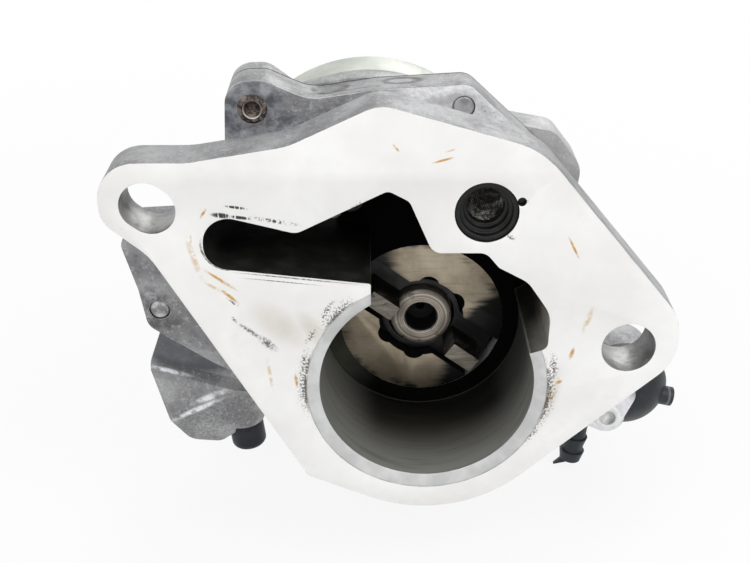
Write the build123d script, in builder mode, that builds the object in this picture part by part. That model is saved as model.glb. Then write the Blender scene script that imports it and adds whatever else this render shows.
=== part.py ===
from build123d import *
import math
import os

# Engine-driven rotary vane vacuum pump.
# The drive axis is Y. The mounting face is the plane y = 0 and faces -Y,
# the pump reaches back along +Y, and +Z is up. All sizes are in millimetres.

# Drive bore and mounting flange
bore_r = 20.0
rim_chamfer = 2.4
rim_chamfer_depth = 0.9
flange_thickness = 9.0
right_hole = (36.7, 8.6)
right_hole_r = 4.95
left_slot = (-48.9, 36.4)
left_slot_width = 8.8
left_slot_length = 10.0

# Depths along the drive axis
ear_face_y = 19.0
joint_y = 27.0
ear_back_y = 31.0
top_ear_back_y = 29.2
chamber_front_y = 35.0
cover_y = 60.0
cover_plate = 3.6
cap_back_y = 70.6
gasket_thickness = 0.4

lug_back_y = 35.0
lump_front_y = 33.0
lump_back_y = 48.0

# Casting walls
core_wall = 4.4
channel_wall = 3.6
drum_wall = 4.0

# Screws that clamp the two castings: (x, z) of the two ears and the two hidden ones
ear_points = [(-31.9, 47.9), (38.6, -19.0), (21.5, 32.5), (-44.5, 18.0)]
ear_screw_r = 2.1
ear_head_r = 4.0
ear_head_height = 3.0
ear_socket_r = 1.9
ear_socket_depth = 2.0
fit_clearance = 0.05
hole_clearance = 0.3

# Rotor, its drive slot and its hub
rotor_face_y = 27.3
journal_r = 16.7
rotor_r = 18.0
running_gap = 0.04
end_gap = 0.06
groove_angle = -36.5
groove_width = 10.6
groove_depth = 4.6
hub_r = 6.25
hub_face_y = 27.8
hub_chamfer = 0.5
recess_r = 8.7
lobe_r = 2.3
lobe_offset = 7.4
lobe_half_angle = 26.0
oil_hole_r = 3.04
oil_hole_depth = 5.2
oil_jet_r = 0.9

# Drive coupling in the rotor's slot
dog_face_y = 21.3
dog_inner_r = 6.9
dog_outer_r = 13.4
dog_width = 3.4
coupling_front_y = 29.4
coupling_half_length = 15.8
coupling_ring_wall = 1.2
coupling_float = 0.4
coupling_side_gap = 0.1

# Chamber and vanes
eccentricity = 5.5
vane_thickness = 4.0
vane_slot_gap = 0.05
vane_tip_r = 17.9
vane_tip_rounding = 1.8
vane_root_r = 2.6
vane_spring_front_y = 37.5
vane_spring_back_gap = 2.5
vane_spring_waves = 4
vane_spring_strip = 0.3
vane_spring_width = 3.2

# Drum of the pump body and the round cover behind it
drum_centre = (-10.7, 12.5)
drum_r = 29.4
cap_r = 30.4
cap_edge = 1.0
collar_r = 38.8
cover_lobe_r = 4.2
cover_lobe_length = 12.0
cover_screw_r = 1.9
cover_lobe_offset = 6.6
cover_inner_offset = 1.8
cover_screw_depth = 5.4
cover_head_r = 3.4
cover_head_height = 2.6
cover_socket_depth = 1.6
cover_seal_land = 1.5
cover_seal_width = 1.6
cover_seal_depth = 1.2

# Dowels that locate the two castings
dowel_points = [(6.6, 48.2), (-52.0, 6.6)]
dowel_r = 2.1
dowel_back_y = 29.0
dowel_chamfer = 0.4

# Oil feed port in the flange
port = (9.7, 35.5)
port_r = 5.6
port_depth = 12.0
port_notch_reach = 6.3
port_notch_angle = 19.0
port_notch_r = 0.8
port_notch_depth = 1.5
port_seal_recess = 0.3
port_seal_back = 4.4
port_seal_steps = [(4.6, 0.3, 1.6), (3.9, 1.6, 3.0), (3.3, 3.0, 4.4)]
strainer_r = 3.2
strainer_flange_r = 5.4
strainer_depth = 4.4
strainer_sheet = 0.5
strainer_skirt = 5.0
gallery_r = 1.5
oil_drilling_r = 1.1
oil_drilling_y = 33.0

# Check valve in the inlet boss
valve_axis = (47.4, -26.3)
valve_boss_r = 8.4
valve_boss_front_y = 46.0
valve_boss_back_y = 58.0
dome_r = 9.6
dome_front_y = 36.5
dome_rim_y = 43.5
elbow_r = 3.4
nipple_root = (38.0, -31.0)
nipple_r = 2.4
nipple_bore_r = 1.5
nipple_length = 14.6
nipple_angle = 263.0
nipple_y = 42.5
nipple_barbs = (10.6, 14.4)
nipple_barb_length = 2.4
nipple_barb_height = 0.5
nipple_lug = [(36.4, -43.0), (36.4, -46.2), (32.4, -47.1)]
nipple_lug_thickness = 1.0
vent_r = 2.2
vent_angle = -13.0
vent_reach = 11.0
valve_bore_r = 5.6
valve_seat_r = 3.2
valve_seat_front_y = 47.4
valve_seat_back_y = 48.8
valve_disc_r = 4.6
valve_disc_thickness = 1.0
valve_bore_back_y = 55.0
valve_spring_r = 2.4
valve_spring_wire_r = 0.3
valve_spring_pitch = 1.6
valve_seal_y = 46.6
inlet_r = 2.2
inlet_wall = 3.8
inlet_y = 52.0

# Exhaust reed on the floor of the channel
reed_screw_point = (-14.4, 28.0)
reed_clamp_length = 3.4
reed_width = 5.6
reed_thickness = 0.3
reed_screw_r = 1.5
reed_screw_head_r = 2.7
reed_screw_head = 1.6
reed_screw_depth = 6.0
reed_socket_r = 1.2
reed_socket_depth = 0.9
stop_thickness = 0.9
stop_lift = 2.0
exhaust_point = (-25.4, 27.7)
exhaust_r = 2.0
exhaust_back_y = 46.0

# Facets of the lump: a crease below the smooth upper one, and a ridge above the lower one
crease_start = (-58.8, -14.0)
crease_angle = -16.3
crease_lip = 1.4
crease_depth = 2.4
upper_facet = 16.0
upper_facet_depth = 1.0
ridge_start = (-56.6, -29.8)
ridge_angle = 27.2
lower_facet = 16.0
lower_facet_depth = 5.0
crease_run = 34.0

# Black plug in the drilling at the lump's lower end
plug_angle = -83.0
plug_start = (-39.6, -27.6)
plug_y = 40.0
plug_boss_r = 4.4
plug_boss_reach = 5.0
plug_hole_r = 2.6
plug_head_r = 3.9
plug_head_reach = 11.8
plug_rounding = 1.5


def at_depth(y):
    """A sketch plane across the drive axis at depth y, with X to the right and Z up."""
    return Plane.XZ.offset(-y)


def on_ray(radius, angle, start=(0.0, 0.0)):
    """The (x, z) point at a radius and an angle from the drive axis, or from another point."""
    turn = math.radians(angle)
    return (start[0] + radius * math.cos(turn), start[1] + radius * math.sin(turn))


def to_space(point, depth):
    """The point in space at (x, z) and a depth along the drive axis."""
    return (point[0], depth, point[1])


def span(start, end):
    """The distance between two (x, z) points."""
    return math.hypot(end[0] - start[0], end[1] - start[1])


def passage(start, end, depth):
    """A sketch plane at (x, z) start and a depth, facing the (x, z) point end."""
    run = (end[0] - start[0], 0, end[1] - start[1])
    return Plane(origin=to_space(start, depth), z_dir=run)


def facet_plane(start, angle):
    """A sketch plane across a line on the lump's face: x across the line, y in depth."""
    back_along = to_space(on_ray(1, angle + 180), 0)
    return Plane(origin=to_space(start, 0), x_dir=to_space(on_ray(1, angle + 90), 0), z_dir=back_along)


# The vane slot lies square to the drive slot, and the chamber is offset along the drive slot
vane_angle = groove_angle + 90
chamber_centre = on_ray(eccentricity, groove_angle + 180)
chamber_r = rotor_r + eccentricity + running_gap
cover_seal_r = chamber_r + cover_seal_land

front_back_y = joint_y - gasket_thickness
coupling_width = groove_width - 2 * coupling_side_gap
coupling_back_y = rotor_face_y + groove_depth - fit_clearance
coupling_ring_gap = coupling_float + 0.2
dome_round_r = (dome_r**2 + (dome_rim_y - dome_front_y) ** 2) / (2 * (dome_rim_y - dome_front_y))
coupling_ring_r = hub_r + coupling_ring_gap + coupling_ring_wall
dog_middle_r = (dog_inner_r + dog_outer_r) / 2
elbow_plane = passage(valve_axis, nipple_root, nipple_y)
nipple_plane = Plane(
    origin=to_space(nipple_root, nipple_y),
    z_dir=(math.cos(math.radians(nipple_angle)), 0, math.sin(math.radians(nipple_angle))),
)
crease_plane = facet_plane(crease_start, crease_angle)
ridge_plane = facet_plane(ridge_start, ridge_angle)
plug_plane = Plane(
    origin=to_space(plug_start, plug_y),
    z_dir=(math.cos(math.radians(plug_angle)), 0, math.sin(math.radians(plug_angle))),
)
vent_plane = Plane(
    origin=(valve_axis[0], nipple_y, valve_axis[1]),
    z_dir=(math.cos(math.radians(vent_angle)), 0, math.sin(math.radians(vent_angle))),
)
rotor_front_y = chamber_front_y + end_gap
rotor_back_y = cover_y - end_gap
reed_span = span(reed_screw_point, exhaust_point)
reed_run = (exhaust_point[0] - reed_screw_point[0], 0, exhaust_point[1] - reed_screw_point[1])
reed_across = (-reed_run[2], 0, reed_run[0])
reed_angle = math.degrees(math.atan2(reed_run[2], reed_run[0]))
reed_middle = ((reed_screw_point[0] + exhaust_point[0]) / 2, (reed_screw_point[1] + exhaust_point[1]) / 2)
stop_back_y = joint_y - reed_thickness
reed_head_back_y = stop_back_y - stop_thickness
lobe_points = [
    on_ray(lobe_offset, vane_angle + side + turn)
    for side in (0, 180)
    for turn in (-lobe_half_angle, lobe_half_angle)
]
cover_lobe_reach = cover_seal_r + cover_lobe_offset
cover_lobe_points = [on_ray(cover_lobe_reach, angle, chamber_centre) for angle in (-100, -36, 28)]
cover_inner_reach = cover_seal_r - cover_inner_offset
cover_points = cover_lobe_points + [on_ray(cover_inner_reach, angle, drum_centre) for angle in (100, 190)]
inlet_angle = math.degrees(math.atan2(valve_axis[1] - chamber_centre[1], valve_axis[0] - chamber_centre[0]))
inlet_arm_root = on_ray(chamber_r, inlet_angle, chamber_centre)
vane_spring_wave = (cover_y - vane_spring_back_gap - vane_spring_front_y) / vane_spring_waves
inlet_reach = span(valve_axis, chamber_centre) - chamber_r + inlet_r
exhaust_reach = span(exhaust_point, chamber_centre) - chamber_r + exhaust_r

# Outlines across the drive axis: (x, z) of each corner with its rounding radius
flange_corners = [
    ((-57.3, 44.7), 7.0),
    ((-41.5, 44.7), 20.0),
    ((-24.5, 47.6), 12.0),
    ((-8.9, 55.0), 6.5),
    ((18.7, 46.9), 16.0),
    ((45.6, 14.6), 9.0),
    ((45.6, 5.4), 9.0),
    ((5.3, -31.6), 26.9),
    ((-22.5, -19.7), 3.5),
    ((-49.3, 27.3), 12.0),
    ((-57.3, 34.0), 5.0),
]
joint_corners = [
    ((-36.7, 53.0), 4.4),
    ((-29.6, 53.2), 4.0),
    ((-21.5, 49.6), 9.0),
    ((-9.5, 51.4), 10.0),
    ((7.6, 52.4), 3.6),
    ((21.5, 39.4), 6.0),
    ((27.8, 33.0), 6.0),
    ((27.0, 4.0), 8.0),
    ((33.0, -9.5), 5.0),
    ((45.4, -11.0), 3.4),
    ((40.2, -23.4), 3.2),
    ((30.0, -19.0), 8.0),
    ((14.0, -27.0), 12.0),
    ((-14.0, -27.0), 14.0),
    ((-27.0, -13.0), 8.0),
    ((-41.5, -6.0), 6.0),
    ((-54.6, 2.9), 3.4),
    ((-55.9, 11.0), 10.0),
    ((-59.2, 23.2), 3.0),
    ((-45.0, 24.0), 5.0),
    ((-37.5, 36.0), 6.0),
]
body_corners = [
    ((-36.7, 53.0), 4.4),
    ((-29.6, 53.2), 4.0),
    ((-21.5, 47.0), 9.0),
    ((0.0, 45.0), 4.0),
    ((21.5, 38.0), 6.0),
    ((27.8, 33.0), 6.0),
    ((27.0, 4.0), 8.0),
    ((33.0, -9.5), 5.0),
    ((45.4, -11.0), 3.4),
    ((40.2, -23.4), 3.2),
    ((30.0, -19.0), 8.0),
    ((14.0, -27.0), 12.0),
    ((-14.0, -27.0), 14.0),
    ((-27.0, -13.0), 8.0),
    ((-41.5, -6.0), 6.0),
    ((-54.6, 2.9), 3.4),
    ((-55.9, 11.0), 10.0),
    ((-59.2, 23.2), 3.0),
    ((-45.0, 24.0), 5.0),
    ((-37.5, 36.0), 6.0),
]
top_ear_corners = [
    ((-10.0, 40.0), 1.0),
    ((-10.0, 50.4), 3.0),
    ((7.4, 51.0), 3.2),
    ((19.0, 40.0), 3.0),
]
collar_corners = [
    ((-27.0, 30.0), 1.0),
    ((-27.0, 60.0), 1.0),
    ((14.0, 60.0), 1.0),
    ((14.0, 30.0), 1.0),
]
channel_corners = [
    ((-39.7, 25.1), 4.4),
    ((-39.7, 35.8), 4.6),
    ((-23.4, 31.6), 3.0),
    ((-7.4, 39.6), 1.6),
    ((-3.7, 37.6), 2.0),
    ((0.5, 27.8), 2.5),
    ((9.9, 27.8), 2.5),
    ((12.3, 24.9), 2.0),
    ((17.6, 22.0), 5.0),
    ((22.0, 15.5), 6.0),
    ((21.9, 8.7), 1.6),
    ((19.0, 7.0), 0.8),
    ((9.0, 4.0), 0.8),
    ((-10.3, 12.0), 0.8),
    ((-10.4, 21.8), 0.4),
]
lug_corners = [
    ((14.0, 42.6), 2.0),
    ((24.8, 40.6), 4.0),
    ((30.4, 33.5), 5.0),
    ((29.4, 24.0), 4.0),
    ((16.0, 24.0), 2.0),
]
lump_corners = [
    ((-47.0, -3.0), 2.0),
    ((-55.0, -6.0), 1.5),
    ((-58.2, -14.6), 2.0),
    ((-54.7, -28.6), 4.0),
    ((-50.8, -35.2), 4.0),
    ((-44.2, -36.6), 2.5),
    ((-40.0, -33.4), 2.5),
    ((-26.0, -24.0), 4.0),
    ((-30.0, -4.0), 4.0),
]


def rounded(corners, grow=0.0, mode=Mode.ADD):
    """A closed outline with each corner rounded by its own radius, grown outwards if asked."""
    points = [corner for corner, _ in corners]
    radii = [radius for _, radius in corners]
    with BuildLine() as outline:
        FilletPolyline(*points, radius=radii, close=True)
    if grow:
        face = make_face(outline.edges(), mode=Mode.PRIVATE)
        offset(face, grow, kind=Kind.ARC, mode=mode)
    else:
        make_face(outline.edges(), mode=mode)


def drum_outline(round_r, chamber_side_r):
    """The drum's outline: a circle at the upper left, drawn round the chamber's own circle."""
    with Locations(drum_centre):
        Circle(round_r)
    with Locations(chamber_centre):
        Circle(chamber_side_r)
    make_hull()


def on_axis_distance(point):
    """How far a point in space lies from the drive axis, in hundredths."""
    return round(math.hypot(point.X, point.Z), 2)


# The slanting oil drilling from the port's gallery to the journal
oil_drilling_end = on_ray(journal_r - 1, math.degrees(math.atan2(port[1], port[0])))
oil_drilling_start = to_space(port, joint_y)
oil_drilling_run = Vector(*to_space(oil_drilling_end, oil_drilling_y)) - Vector(*oil_drilling_start)
oil_drilling = Plane(origin=oil_drilling_start, z_dir=oil_drilling_run)
oil_drilling_length = oil_drilling_run.length


os.makedirs("parts", exist_ok=True)


# Front housing: one aluminium casting with the mounting flange, the drive bore,
# the exhaust channel, the oil port and four threaded ears
with BuildPart() as front_housing:
    with BuildSketch(at_depth(0)):
        rounded(flange_corners)
    extrude(amount=-flange_thickness)
    with BuildSketch(at_depth(flange_thickness)):
        Circle(bore_r + core_wall)
        rounded(channel_corners, channel_wall)
        with Locations(port):
            Circle(port_r + channel_wall)
    extrude(amount=-(front_back_y - flange_thickness))
    with BuildSketch(at_depth(ear_face_y)):
        rounded(joint_corners)
    extrude(amount=-(front_back_y - ear_face_y))
    with BuildSketch(at_depth(0)):
        Circle(bore_r)
        rounded(channel_corners)
    extrude(amount=-front_back_y, mode=Mode.SUBTRACT)
    with BuildSketch(at_depth(0)):
        with Locations(right_hole):
            Circle(right_hole_r)
        with Locations(left_slot):
            SlotOverall(left_slot_length, left_slot_width, rotation=groove_angle)
    extrude(amount=-flange_thickness, mode=Mode.SUBTRACT)
    with BuildSketch(at_depth(0)):
        with Locations(port):
            Circle(port_r)
    extrude(amount=-port_depth, mode=Mode.SUBTRACT)
    with BuildSketch(at_depth(port_depth)):
        with Locations(port):
            Circle(gallery_r)
    extrude(amount=-(front_back_y - port_depth), mode=Mode.SUBTRACT)
    with BuildSketch(at_depth(ear_face_y)):
        with Locations(*ear_points):
            Circle(ear_screw_r)
    extrude(amount=-(front_back_y - ear_face_y), mode=Mode.SUBTRACT)
    with BuildSketch(at_depth(ear_face_y)):
        with Locations(*dowel_points):
            Circle(dowel_r)
    extrude(amount=-(front_back_y - ear_face_y), mode=Mode.SUBTRACT)
    with BuildSketch(at_depth(0)):
        with Locations(on_ray(port_notch_reach, port_notch_angle, port)):
            Circle(port_notch_r)
    extrude(amount=-port_notch_depth, mode=Mode.SUBTRACT)
    with BuildSketch(Plane.XY):
        Polygon(
            (0, 0),
            (bore_r + rim_chamfer, 0),
            (bore_r, rim_chamfer_depth),
            (0, rim_chamfer_depth),
            align=None,
        )
    revolve(axis=Axis.Y, mode=Mode.SUBTRACT)
front_housing.part.label = "front_housing"
export_step(front_housing.part, "parts/front_housing.step")

# Gasket between the two castings, cut to the joint outline
with BuildPart() as joint_gasket:
    with BuildSketch(at_depth(front_back_y)):
        rounded(joint_corners)
        Circle(bore_r, mode=Mode.SUBTRACT)
        rounded(channel_corners, mode=Mode.SUBTRACT)
        with Locations(*ear_points):
            Circle(ear_screw_r + hole_clearance, mode=Mode.SUBTRACT)
        with Locations(*dowel_points):
            Circle(dowel_r + hole_clearance, mode=Mode.SUBTRACT)
        with Locations(port):
            Circle(gallery_r, mode=Mode.SUBTRACT)
    extrude(amount=-gasket_thickness)
joint_gasket.part.label = "joint_gasket"
export_step(joint_gasket.part, "parts/joint_gasket.step")

# Pump body: the rear casting, with the journal bearing in its front wall, the
# chamber behind it, the inlet boss and the bracket lump at the lower left
with BuildPart() as pump_body:
    with BuildSketch(at_depth(joint_y)):
        rounded(body_corners)
        rounded(top_ear_corners)
    extrude(amount=-(top_ear_back_y - joint_y))
    with BuildSketch(at_depth(joint_y)):
        with Locations(drum_centre):
            Circle(collar_r)
        rounded(collar_corners, mode=Mode.INTERSECT)
        rounded(body_corners)
    extrude(amount=-(ear_back_y - joint_y))
    with BuildSketch(at_depth(joint_y)):
        rounded(lug_corners)
    extrude(amount=-(lug_back_y - joint_y))
    with BuildSketch(at_depth(joint_y)):
        drum_outline(drum_r, chamber_r + drum_wall)
    extrude(amount=-(cover_y - joint_y))
    with BuildSketch(at_depth(lump_front_y)):
        rounded(lump_corners)
    extrude(amount=-(lump_back_y - lump_front_y))
    for point in cover_lobe_points:
        with BuildSketch(at_depth(cover_y - cover_lobe_length)):
            with Locations(point, chamber_centre):
                Circle(cover_lobe_r)
            make_hull()
        extrude(amount=-cover_lobe_length)
    with BuildSketch(at_depth(valve_boss_front_y)):
        with Locations(valve_axis):
            Circle(valve_boss_r)
    extrude(amount=-(valve_boss_back_y - valve_boss_front_y))
    with BuildSketch(at_depth(inlet_y - inlet_r - inlet_wall)):
        with Locations(valve_axis, inlet_arm_root):
            Circle(inlet_r + inlet_wall)
        make_hull()
    extrude(amount=-2 * (inlet_r + inlet_wall))
    with BuildSketch(crease_plane):
        Polygon(
            (-crease_lip, lump_front_y),
            (0, lump_front_y + crease_depth),
            (upper_facet, lump_front_y + upper_facet_depth),
            (upper_facet, lump_front_y),
            align=None,
        )
    extrude(amount=-crease_run, mode=Mode.SUBTRACT)
    with BuildSketch(ridge_plane):
        Polygon(
            (0, lump_front_y),
            (-lower_facet, lump_front_y + lower_facet_depth),
            (-lower_facet, lump_front_y),
            align=None,
        )
    extrude(amount=-crease_run, mode=Mode.SUBTRACT)
    with BuildSketch(plug_plane):
        Circle(plug_boss_r)
    extrude(amount=plug_boss_reach)
    with BuildSketch(plug_plane):
        Circle(plug_hole_r)
    extrude(amount=plug_boss_reach, mode=Mode.SUBTRACT)
    with BuildSketch(plug_plane.offset(plug_boss_reach)):
        Circle(plug_head_r + hole_clearance)
    extrude(amount=plug_head_reach, mode=Mode.SUBTRACT)
    with BuildSketch(at_depth(joint_y)):
        Circle(journal_r + running_gap)
    extrude(amount=-(chamber_front_y - joint_y), mode=Mode.SUBTRACT)
    with BuildSketch(at_depth(chamber_front_y)):
        with Locations(chamber_centre):
            Circle(chamber_r)
    extrude(amount=-(cover_y - chamber_front_y), mode=Mode.SUBTRACT)
    with BuildSketch(at_depth(valve_boss_front_y)):
        with Locations(valve_axis):
            Circle(valve_bore_r)
    extrude(amount=-(valve_bore_back_y - valve_boss_front_y), mode=Mode.SUBTRACT)
    with BuildSketch(passage(valve_axis, chamber_centre, inlet_y)):
        Circle(inlet_r)
    extrude(amount=inlet_reach, mode=Mode.SUBTRACT)
    with BuildSketch(at_depth(joint_y)):
        with Locations(exhaust_point):
            Circle(exhaust_r)
    extrude(amount=-(exhaust_back_y - joint_y), mode=Mode.SUBTRACT)
    with BuildSketch(passage(exhaust_point, chamber_centre, exhaust_back_y - exhaust_r)):
        Circle(exhaust_r)
    extrude(amount=exhaust_reach, mode=Mode.SUBTRACT)
    with BuildSketch(at_depth(joint_y)):
        with Locations(*ear_points):
            Circle(ear_screw_r + hole_clearance)
    extrude(amount=-(ear_back_y - joint_y), mode=Mode.SUBTRACT)
    with BuildSketch(at_depth(ear_back_y)):
        with Locations(*ear_points):
            Circle(ear_head_r + hole_clearance)
    extrude(amount=-(lug_back_y - ear_back_y), mode=Mode.SUBTRACT)
    with BuildSketch(at_depth(joint_y)):
        with Locations(*dowel_points):
            Circle(dowel_r)
    extrude(amount=-(dowel_back_y - joint_y), mode=Mode.SUBTRACT)
    with BuildSketch(at_depth(joint_y)):
        with Locations(reed_screw_point):
            Circle(reed_screw_r)
    extrude(amount=-reed_screw_depth, mode=Mode.SUBTRACT)
    with BuildSketch(at_depth(cover_y - cover_screw_depth)):
        with Locations(*cover_points):
            Circle(cover_screw_r)
    extrude(amount=-cover_screw_depth, mode=Mode.SUBTRACT)
    with BuildSketch(at_depth(cover_y - cover_seal_depth)):
        with Locations(chamber_centre):
            Circle(cover_seal_r + cover_seal_width)
            Circle(cover_seal_r, mode=Mode.SUBTRACT)
    extrude(amount=-cover_seal_depth, mode=Mode.SUBTRACT)
    with BuildSketch(oil_drilling):
        Circle(oil_drilling_r)
    extrude(amount=oil_drilling_length, mode=Mode.SUBTRACT)
pump_body.part.label = "pump_body"
export_step(pump_body.part, "parts/pump_body.step")

# Rotor: a steel journal with the drive slot, the scalloped recess and the hub on
# its front face, and a wider section behind it that holds the vane slot
with BuildPart() as rotor:
    with BuildSketch(at_depth(rotor_face_y)):
        Circle(journal_r)
    extrude(amount=-(rotor_front_y - rotor_face_y))
    with BuildSketch(at_depth(rotor_front_y)):
        Circle(rotor_r)
    extrude(amount=-(rotor_back_y - rotor_front_y))
    with BuildSketch(at_depth(rotor_face_y)):
        Rectangle(2 * rotor_r, groove_width, rotation=groove_angle)
        Circle(recess_r)
        with Locations(*lobe_points):
            Circle(lobe_r)
        Circle(hub_r, mode=Mode.SUBTRACT)
    extrude(amount=-groove_depth, mode=Mode.SUBTRACT)
    with BuildSketch(at_depth(rotor_face_y)):
        Circle(hub_r)
    extrude(amount=-(hub_face_y - rotor_face_y), mode=Mode.SUBTRACT)
    with BuildSketch(at_depth(hub_face_y)):
        Circle(oil_hole_r)
    extrude(amount=-oil_hole_depth, mode=Mode.SUBTRACT)
    with BuildSketch(at_depth(hub_face_y)):
        Circle(oil_jet_r)
    extrude(amount=-(rotor_front_y - hub_face_y), mode=Mode.SUBTRACT)
    with BuildSketch(at_depth(rotor_front_y)):
        Rectangle(3 * rotor_r, vane_thickness + 2 * vane_slot_gap, rotation=vane_angle)
    extrude(amount=-(rotor_back_y - rotor_front_y), mode=Mode.SUBTRACT)
    hub_edges = rotor.edges().filter_by(GeomType.CIRCLE)
    hub_edges = hub_edges.filter_by(lambda edge: abs(edge.center().Y - hub_face_y) < 0.01)
    chamfer(hub_edges, hub_chamfer)
rotor.part.label = "rotor"
export_step(rotor.part, "parts/rotor.step")


def vane(angle):
    """One vane lying in its slot, with a rounded tip."""
    middle = on_ray((vane_root_r + vane_tip_r) / 2, angle)
    length = vane_tip_r - vane_root_r
    with BuildPart() as blade:
        with BuildSketch(at_depth(rotor_front_y)):
            with Locations(Location(middle, angle)):
                Rectangle(length, vane_thickness)
        extrude(amount=-(rotor_back_y - rotor_front_y))
        tip_edges = blade.edges().filter_by(Axis.Y)
        tip_edges = tip_edges.group_by(lambda edge: on_axis_distance(edge.center()))[-1]
        fillet(tip_edges, vane_tip_rounding)
    return blade.part


vane_a = vane(vane_angle)
vane_a.label = "vane_a"
export_step(vane_a, "parts/vane_a.step")
vane_b = vane(vane_angle + 180)
vane_b.label = "vane_b"
export_step(vane_b, "parts/vane_b.step")

# Wave spring: a bent steel strip between the vanes' roots that presses both outwards
vane_spring_plane = Plane(
    origin=(0, 0, 0),
    x_dir=to_space(on_ray(1, vane_angle), 0),
    z_dir=to_space(on_ray(1, vane_angle + 90), 0),
)
vane_spring_reach = vane_root_r - vane_spring_strip / 2 - fit_clearance
with BuildPart() as vane_spring:
    with BuildSketch(vane_spring_plane):
        with BuildLine() as strip:
            for wave in range(vane_spring_waves):
                start = vane_spring_front_y + wave * vane_spring_wave
                bow = vane_spring_reach if wave % 2 else -vane_spring_reach
                ThreePointArc(
                    (0, start),
                    (bow, start + vane_spring_wave / 2),
                    (0, start + vane_spring_wave),
                )
        trace(line_width=vane_spring_strip)
    extrude(amount=vane_spring_width / 2, both=True)
vane_spring.part.label = "vane_spring"
export_step(vane_spring.part, "parts/vane_spring.step")

# Drive coupling: a slotted steel bar round the hub, with the two dogs that the camshaft turns
with BuildPart() as drive_coupling:
    with BuildSketch(at_depth(coupling_front_y)):
        Rectangle(2 * rotor_r, coupling_width, rotation=groove_angle)
        Circle(coupling_half_length, mode=Mode.INTERSECT)
        Circle(coupling_ring_r)
        Circle(hub_r + coupling_ring_gap, mode=Mode.SUBTRACT)
    extrude(amount=-(coupling_back_y - coupling_front_y))
    with BuildSketch(at_depth(dog_face_y)):
        for side in (0, 180):
            with Locations(Location(on_ray(dog_middle_r, groove_angle + side), groove_angle)):
                Rectangle(dog_outer_r - dog_inner_r, dog_width)
    extrude(amount=-(coupling_front_y - dog_face_y))
drive_coupling.part.label = "drive_coupling"
export_step(drive_coupling.part, "parts/drive_coupling.step")

# Stepped rubber seal in the oil port and the mesh strainer held behind it
with BuildPart() as oil_seal:
    with BuildSketch(at_depth(port_seal_recess)):
        with Locations(port):
            Circle(port_r - fit_clearance)
    extrude(amount=-(port_seal_back - port_seal_recess))
    for radius, front, back in port_seal_steps:
        with BuildSketch(at_depth(front)):
            with Locations(port):
                Circle(radius)
        extrude(amount=-(back - front), mode=Mode.SUBTRACT)
oil_seal.part.label = "oil_seal"
export_step(oil_seal.part, "parts/oil_seal.step")

with BuildPart() as oil_strainer:
    with BuildSketch(at_depth(strainer_depth)):
        with Locations(port):
            Circle(strainer_flange_r)
    extrude(amount=-strainer_sheet)
    with BuildSketch(at_depth(strainer_depth + strainer_sheet)):
        with Locations(port):
            Circle(strainer_r)
            Circle(strainer_r - strainer_sheet, mode=Mode.SUBTRACT)
    extrude(amount=-strainer_skirt)
oil_strainer.part.label = "oil_strainer"
export_step(oil_strainer.part, "parts/oil_strainer.step")

# Screws that clamp the castings from behind: their ends show flush in the ears
with BuildPart() as body_screws:
    with BuildSketch(at_depth(ear_face_y)):
        with Locations(*ear_points):
            Circle(ear_screw_r - fit_clearance)
    extrude(amount=-(ear_back_y - ear_face_y))
    with BuildSketch(at_depth(ear_back_y)):
        with Locations(*ear_points):
            Circle(ear_head_r)
    extrude(amount=-ear_head_height)
    with BuildSketch(at_depth(ear_back_y + ear_head_height)):
        with Locations(*ear_points):
            RegularPolygon(ear_socket_r, 6)
    extrude(amount=ear_socket_depth, mode=Mode.SUBTRACT)
body_screws.part.label = "body_screws"
export_step(body_screws.part, "parts/body_screws.step")

with BuildPart() as locating_dowels:
    with BuildSketch(at_depth(ear_face_y)):
        with Locations(*dowel_points):
            Circle(dowel_r - fit_clearance)
    extrude(amount=-(dowel_back_y - ear_face_y - fit_clearance))
    chamfer(locating_dowels.edges().filter_by(GeomType.CIRCLE), dowel_chamfer)
locating_dowels.part.label = "locating_dowels"
export_step(locating_dowels.part, "parts/locating_dowels.step")

# Rear cover: the plate that closes the chamber, with the round cap over the drum
with BuildPart() as rear_cover:
    with BuildSketch(at_depth(cover_y)):
        drum_outline(cap_r, chamber_r + drum_wall)
    extrude(amount=-cover_plate)
    for point in cover_lobe_points:
        with BuildSketch(at_depth(cover_y)):
            with Locations(point, chamber_centre):
                Circle(cover_lobe_r)
            make_hull()
        extrude(amount=-cover_plate)
    with BuildSketch(at_depth(cover_y)):
        with Locations(drum_centre):
            Circle(cap_r)
    extrude(amount=-(cap_back_y - cover_y))
    back_rim = rear_cover.edges().group_by(Axis.Y)[-1]
    fillet(back_rim, cap_edge)
    with BuildSketch(at_depth(cover_y)):
        with Locations(*cover_points):
            Circle(cover_screw_r + hole_clearance)
    extrude(amount=-cover_plate, mode=Mode.SUBTRACT)
    with BuildSketch(at_depth(cover_y + cover_plate)):
        with Locations(*cover_points):
            Circle(cover_head_r + 2 * hole_clearance)
    extrude(amount=-(cap_back_y - cover_y), mode=Mode.SUBTRACT)
rear_cover.part.label = "rear_cover"
export_step(rear_cover.part, "parts/rear_cover.step")

with BuildPart() as cover_screws:
    with BuildSketch(at_depth(cover_y - cover_screw_depth + fit_clearance)):
        with Locations(*cover_points):
            Circle(cover_screw_r - fit_clearance)
    extrude(amount=-(cover_screw_depth + cover_plate - fit_clearance))
    with BuildSketch(at_depth(cover_y + cover_plate)):
        with Locations(*cover_points):
            Circle(cover_head_r)
    extrude(amount=-cover_head_height)
    with BuildSketch(at_depth(cover_y + cover_plate + cover_head_height)):
        with Locations(*cover_points):
            RegularPolygon(ear_socket_r, 6)
    extrude(amount=cover_socket_depth, mode=Mode.SUBTRACT)
cover_screws.part.label = "cover_screws"
export_step(cover_screws.part, "parts/cover_screws.step")

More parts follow.
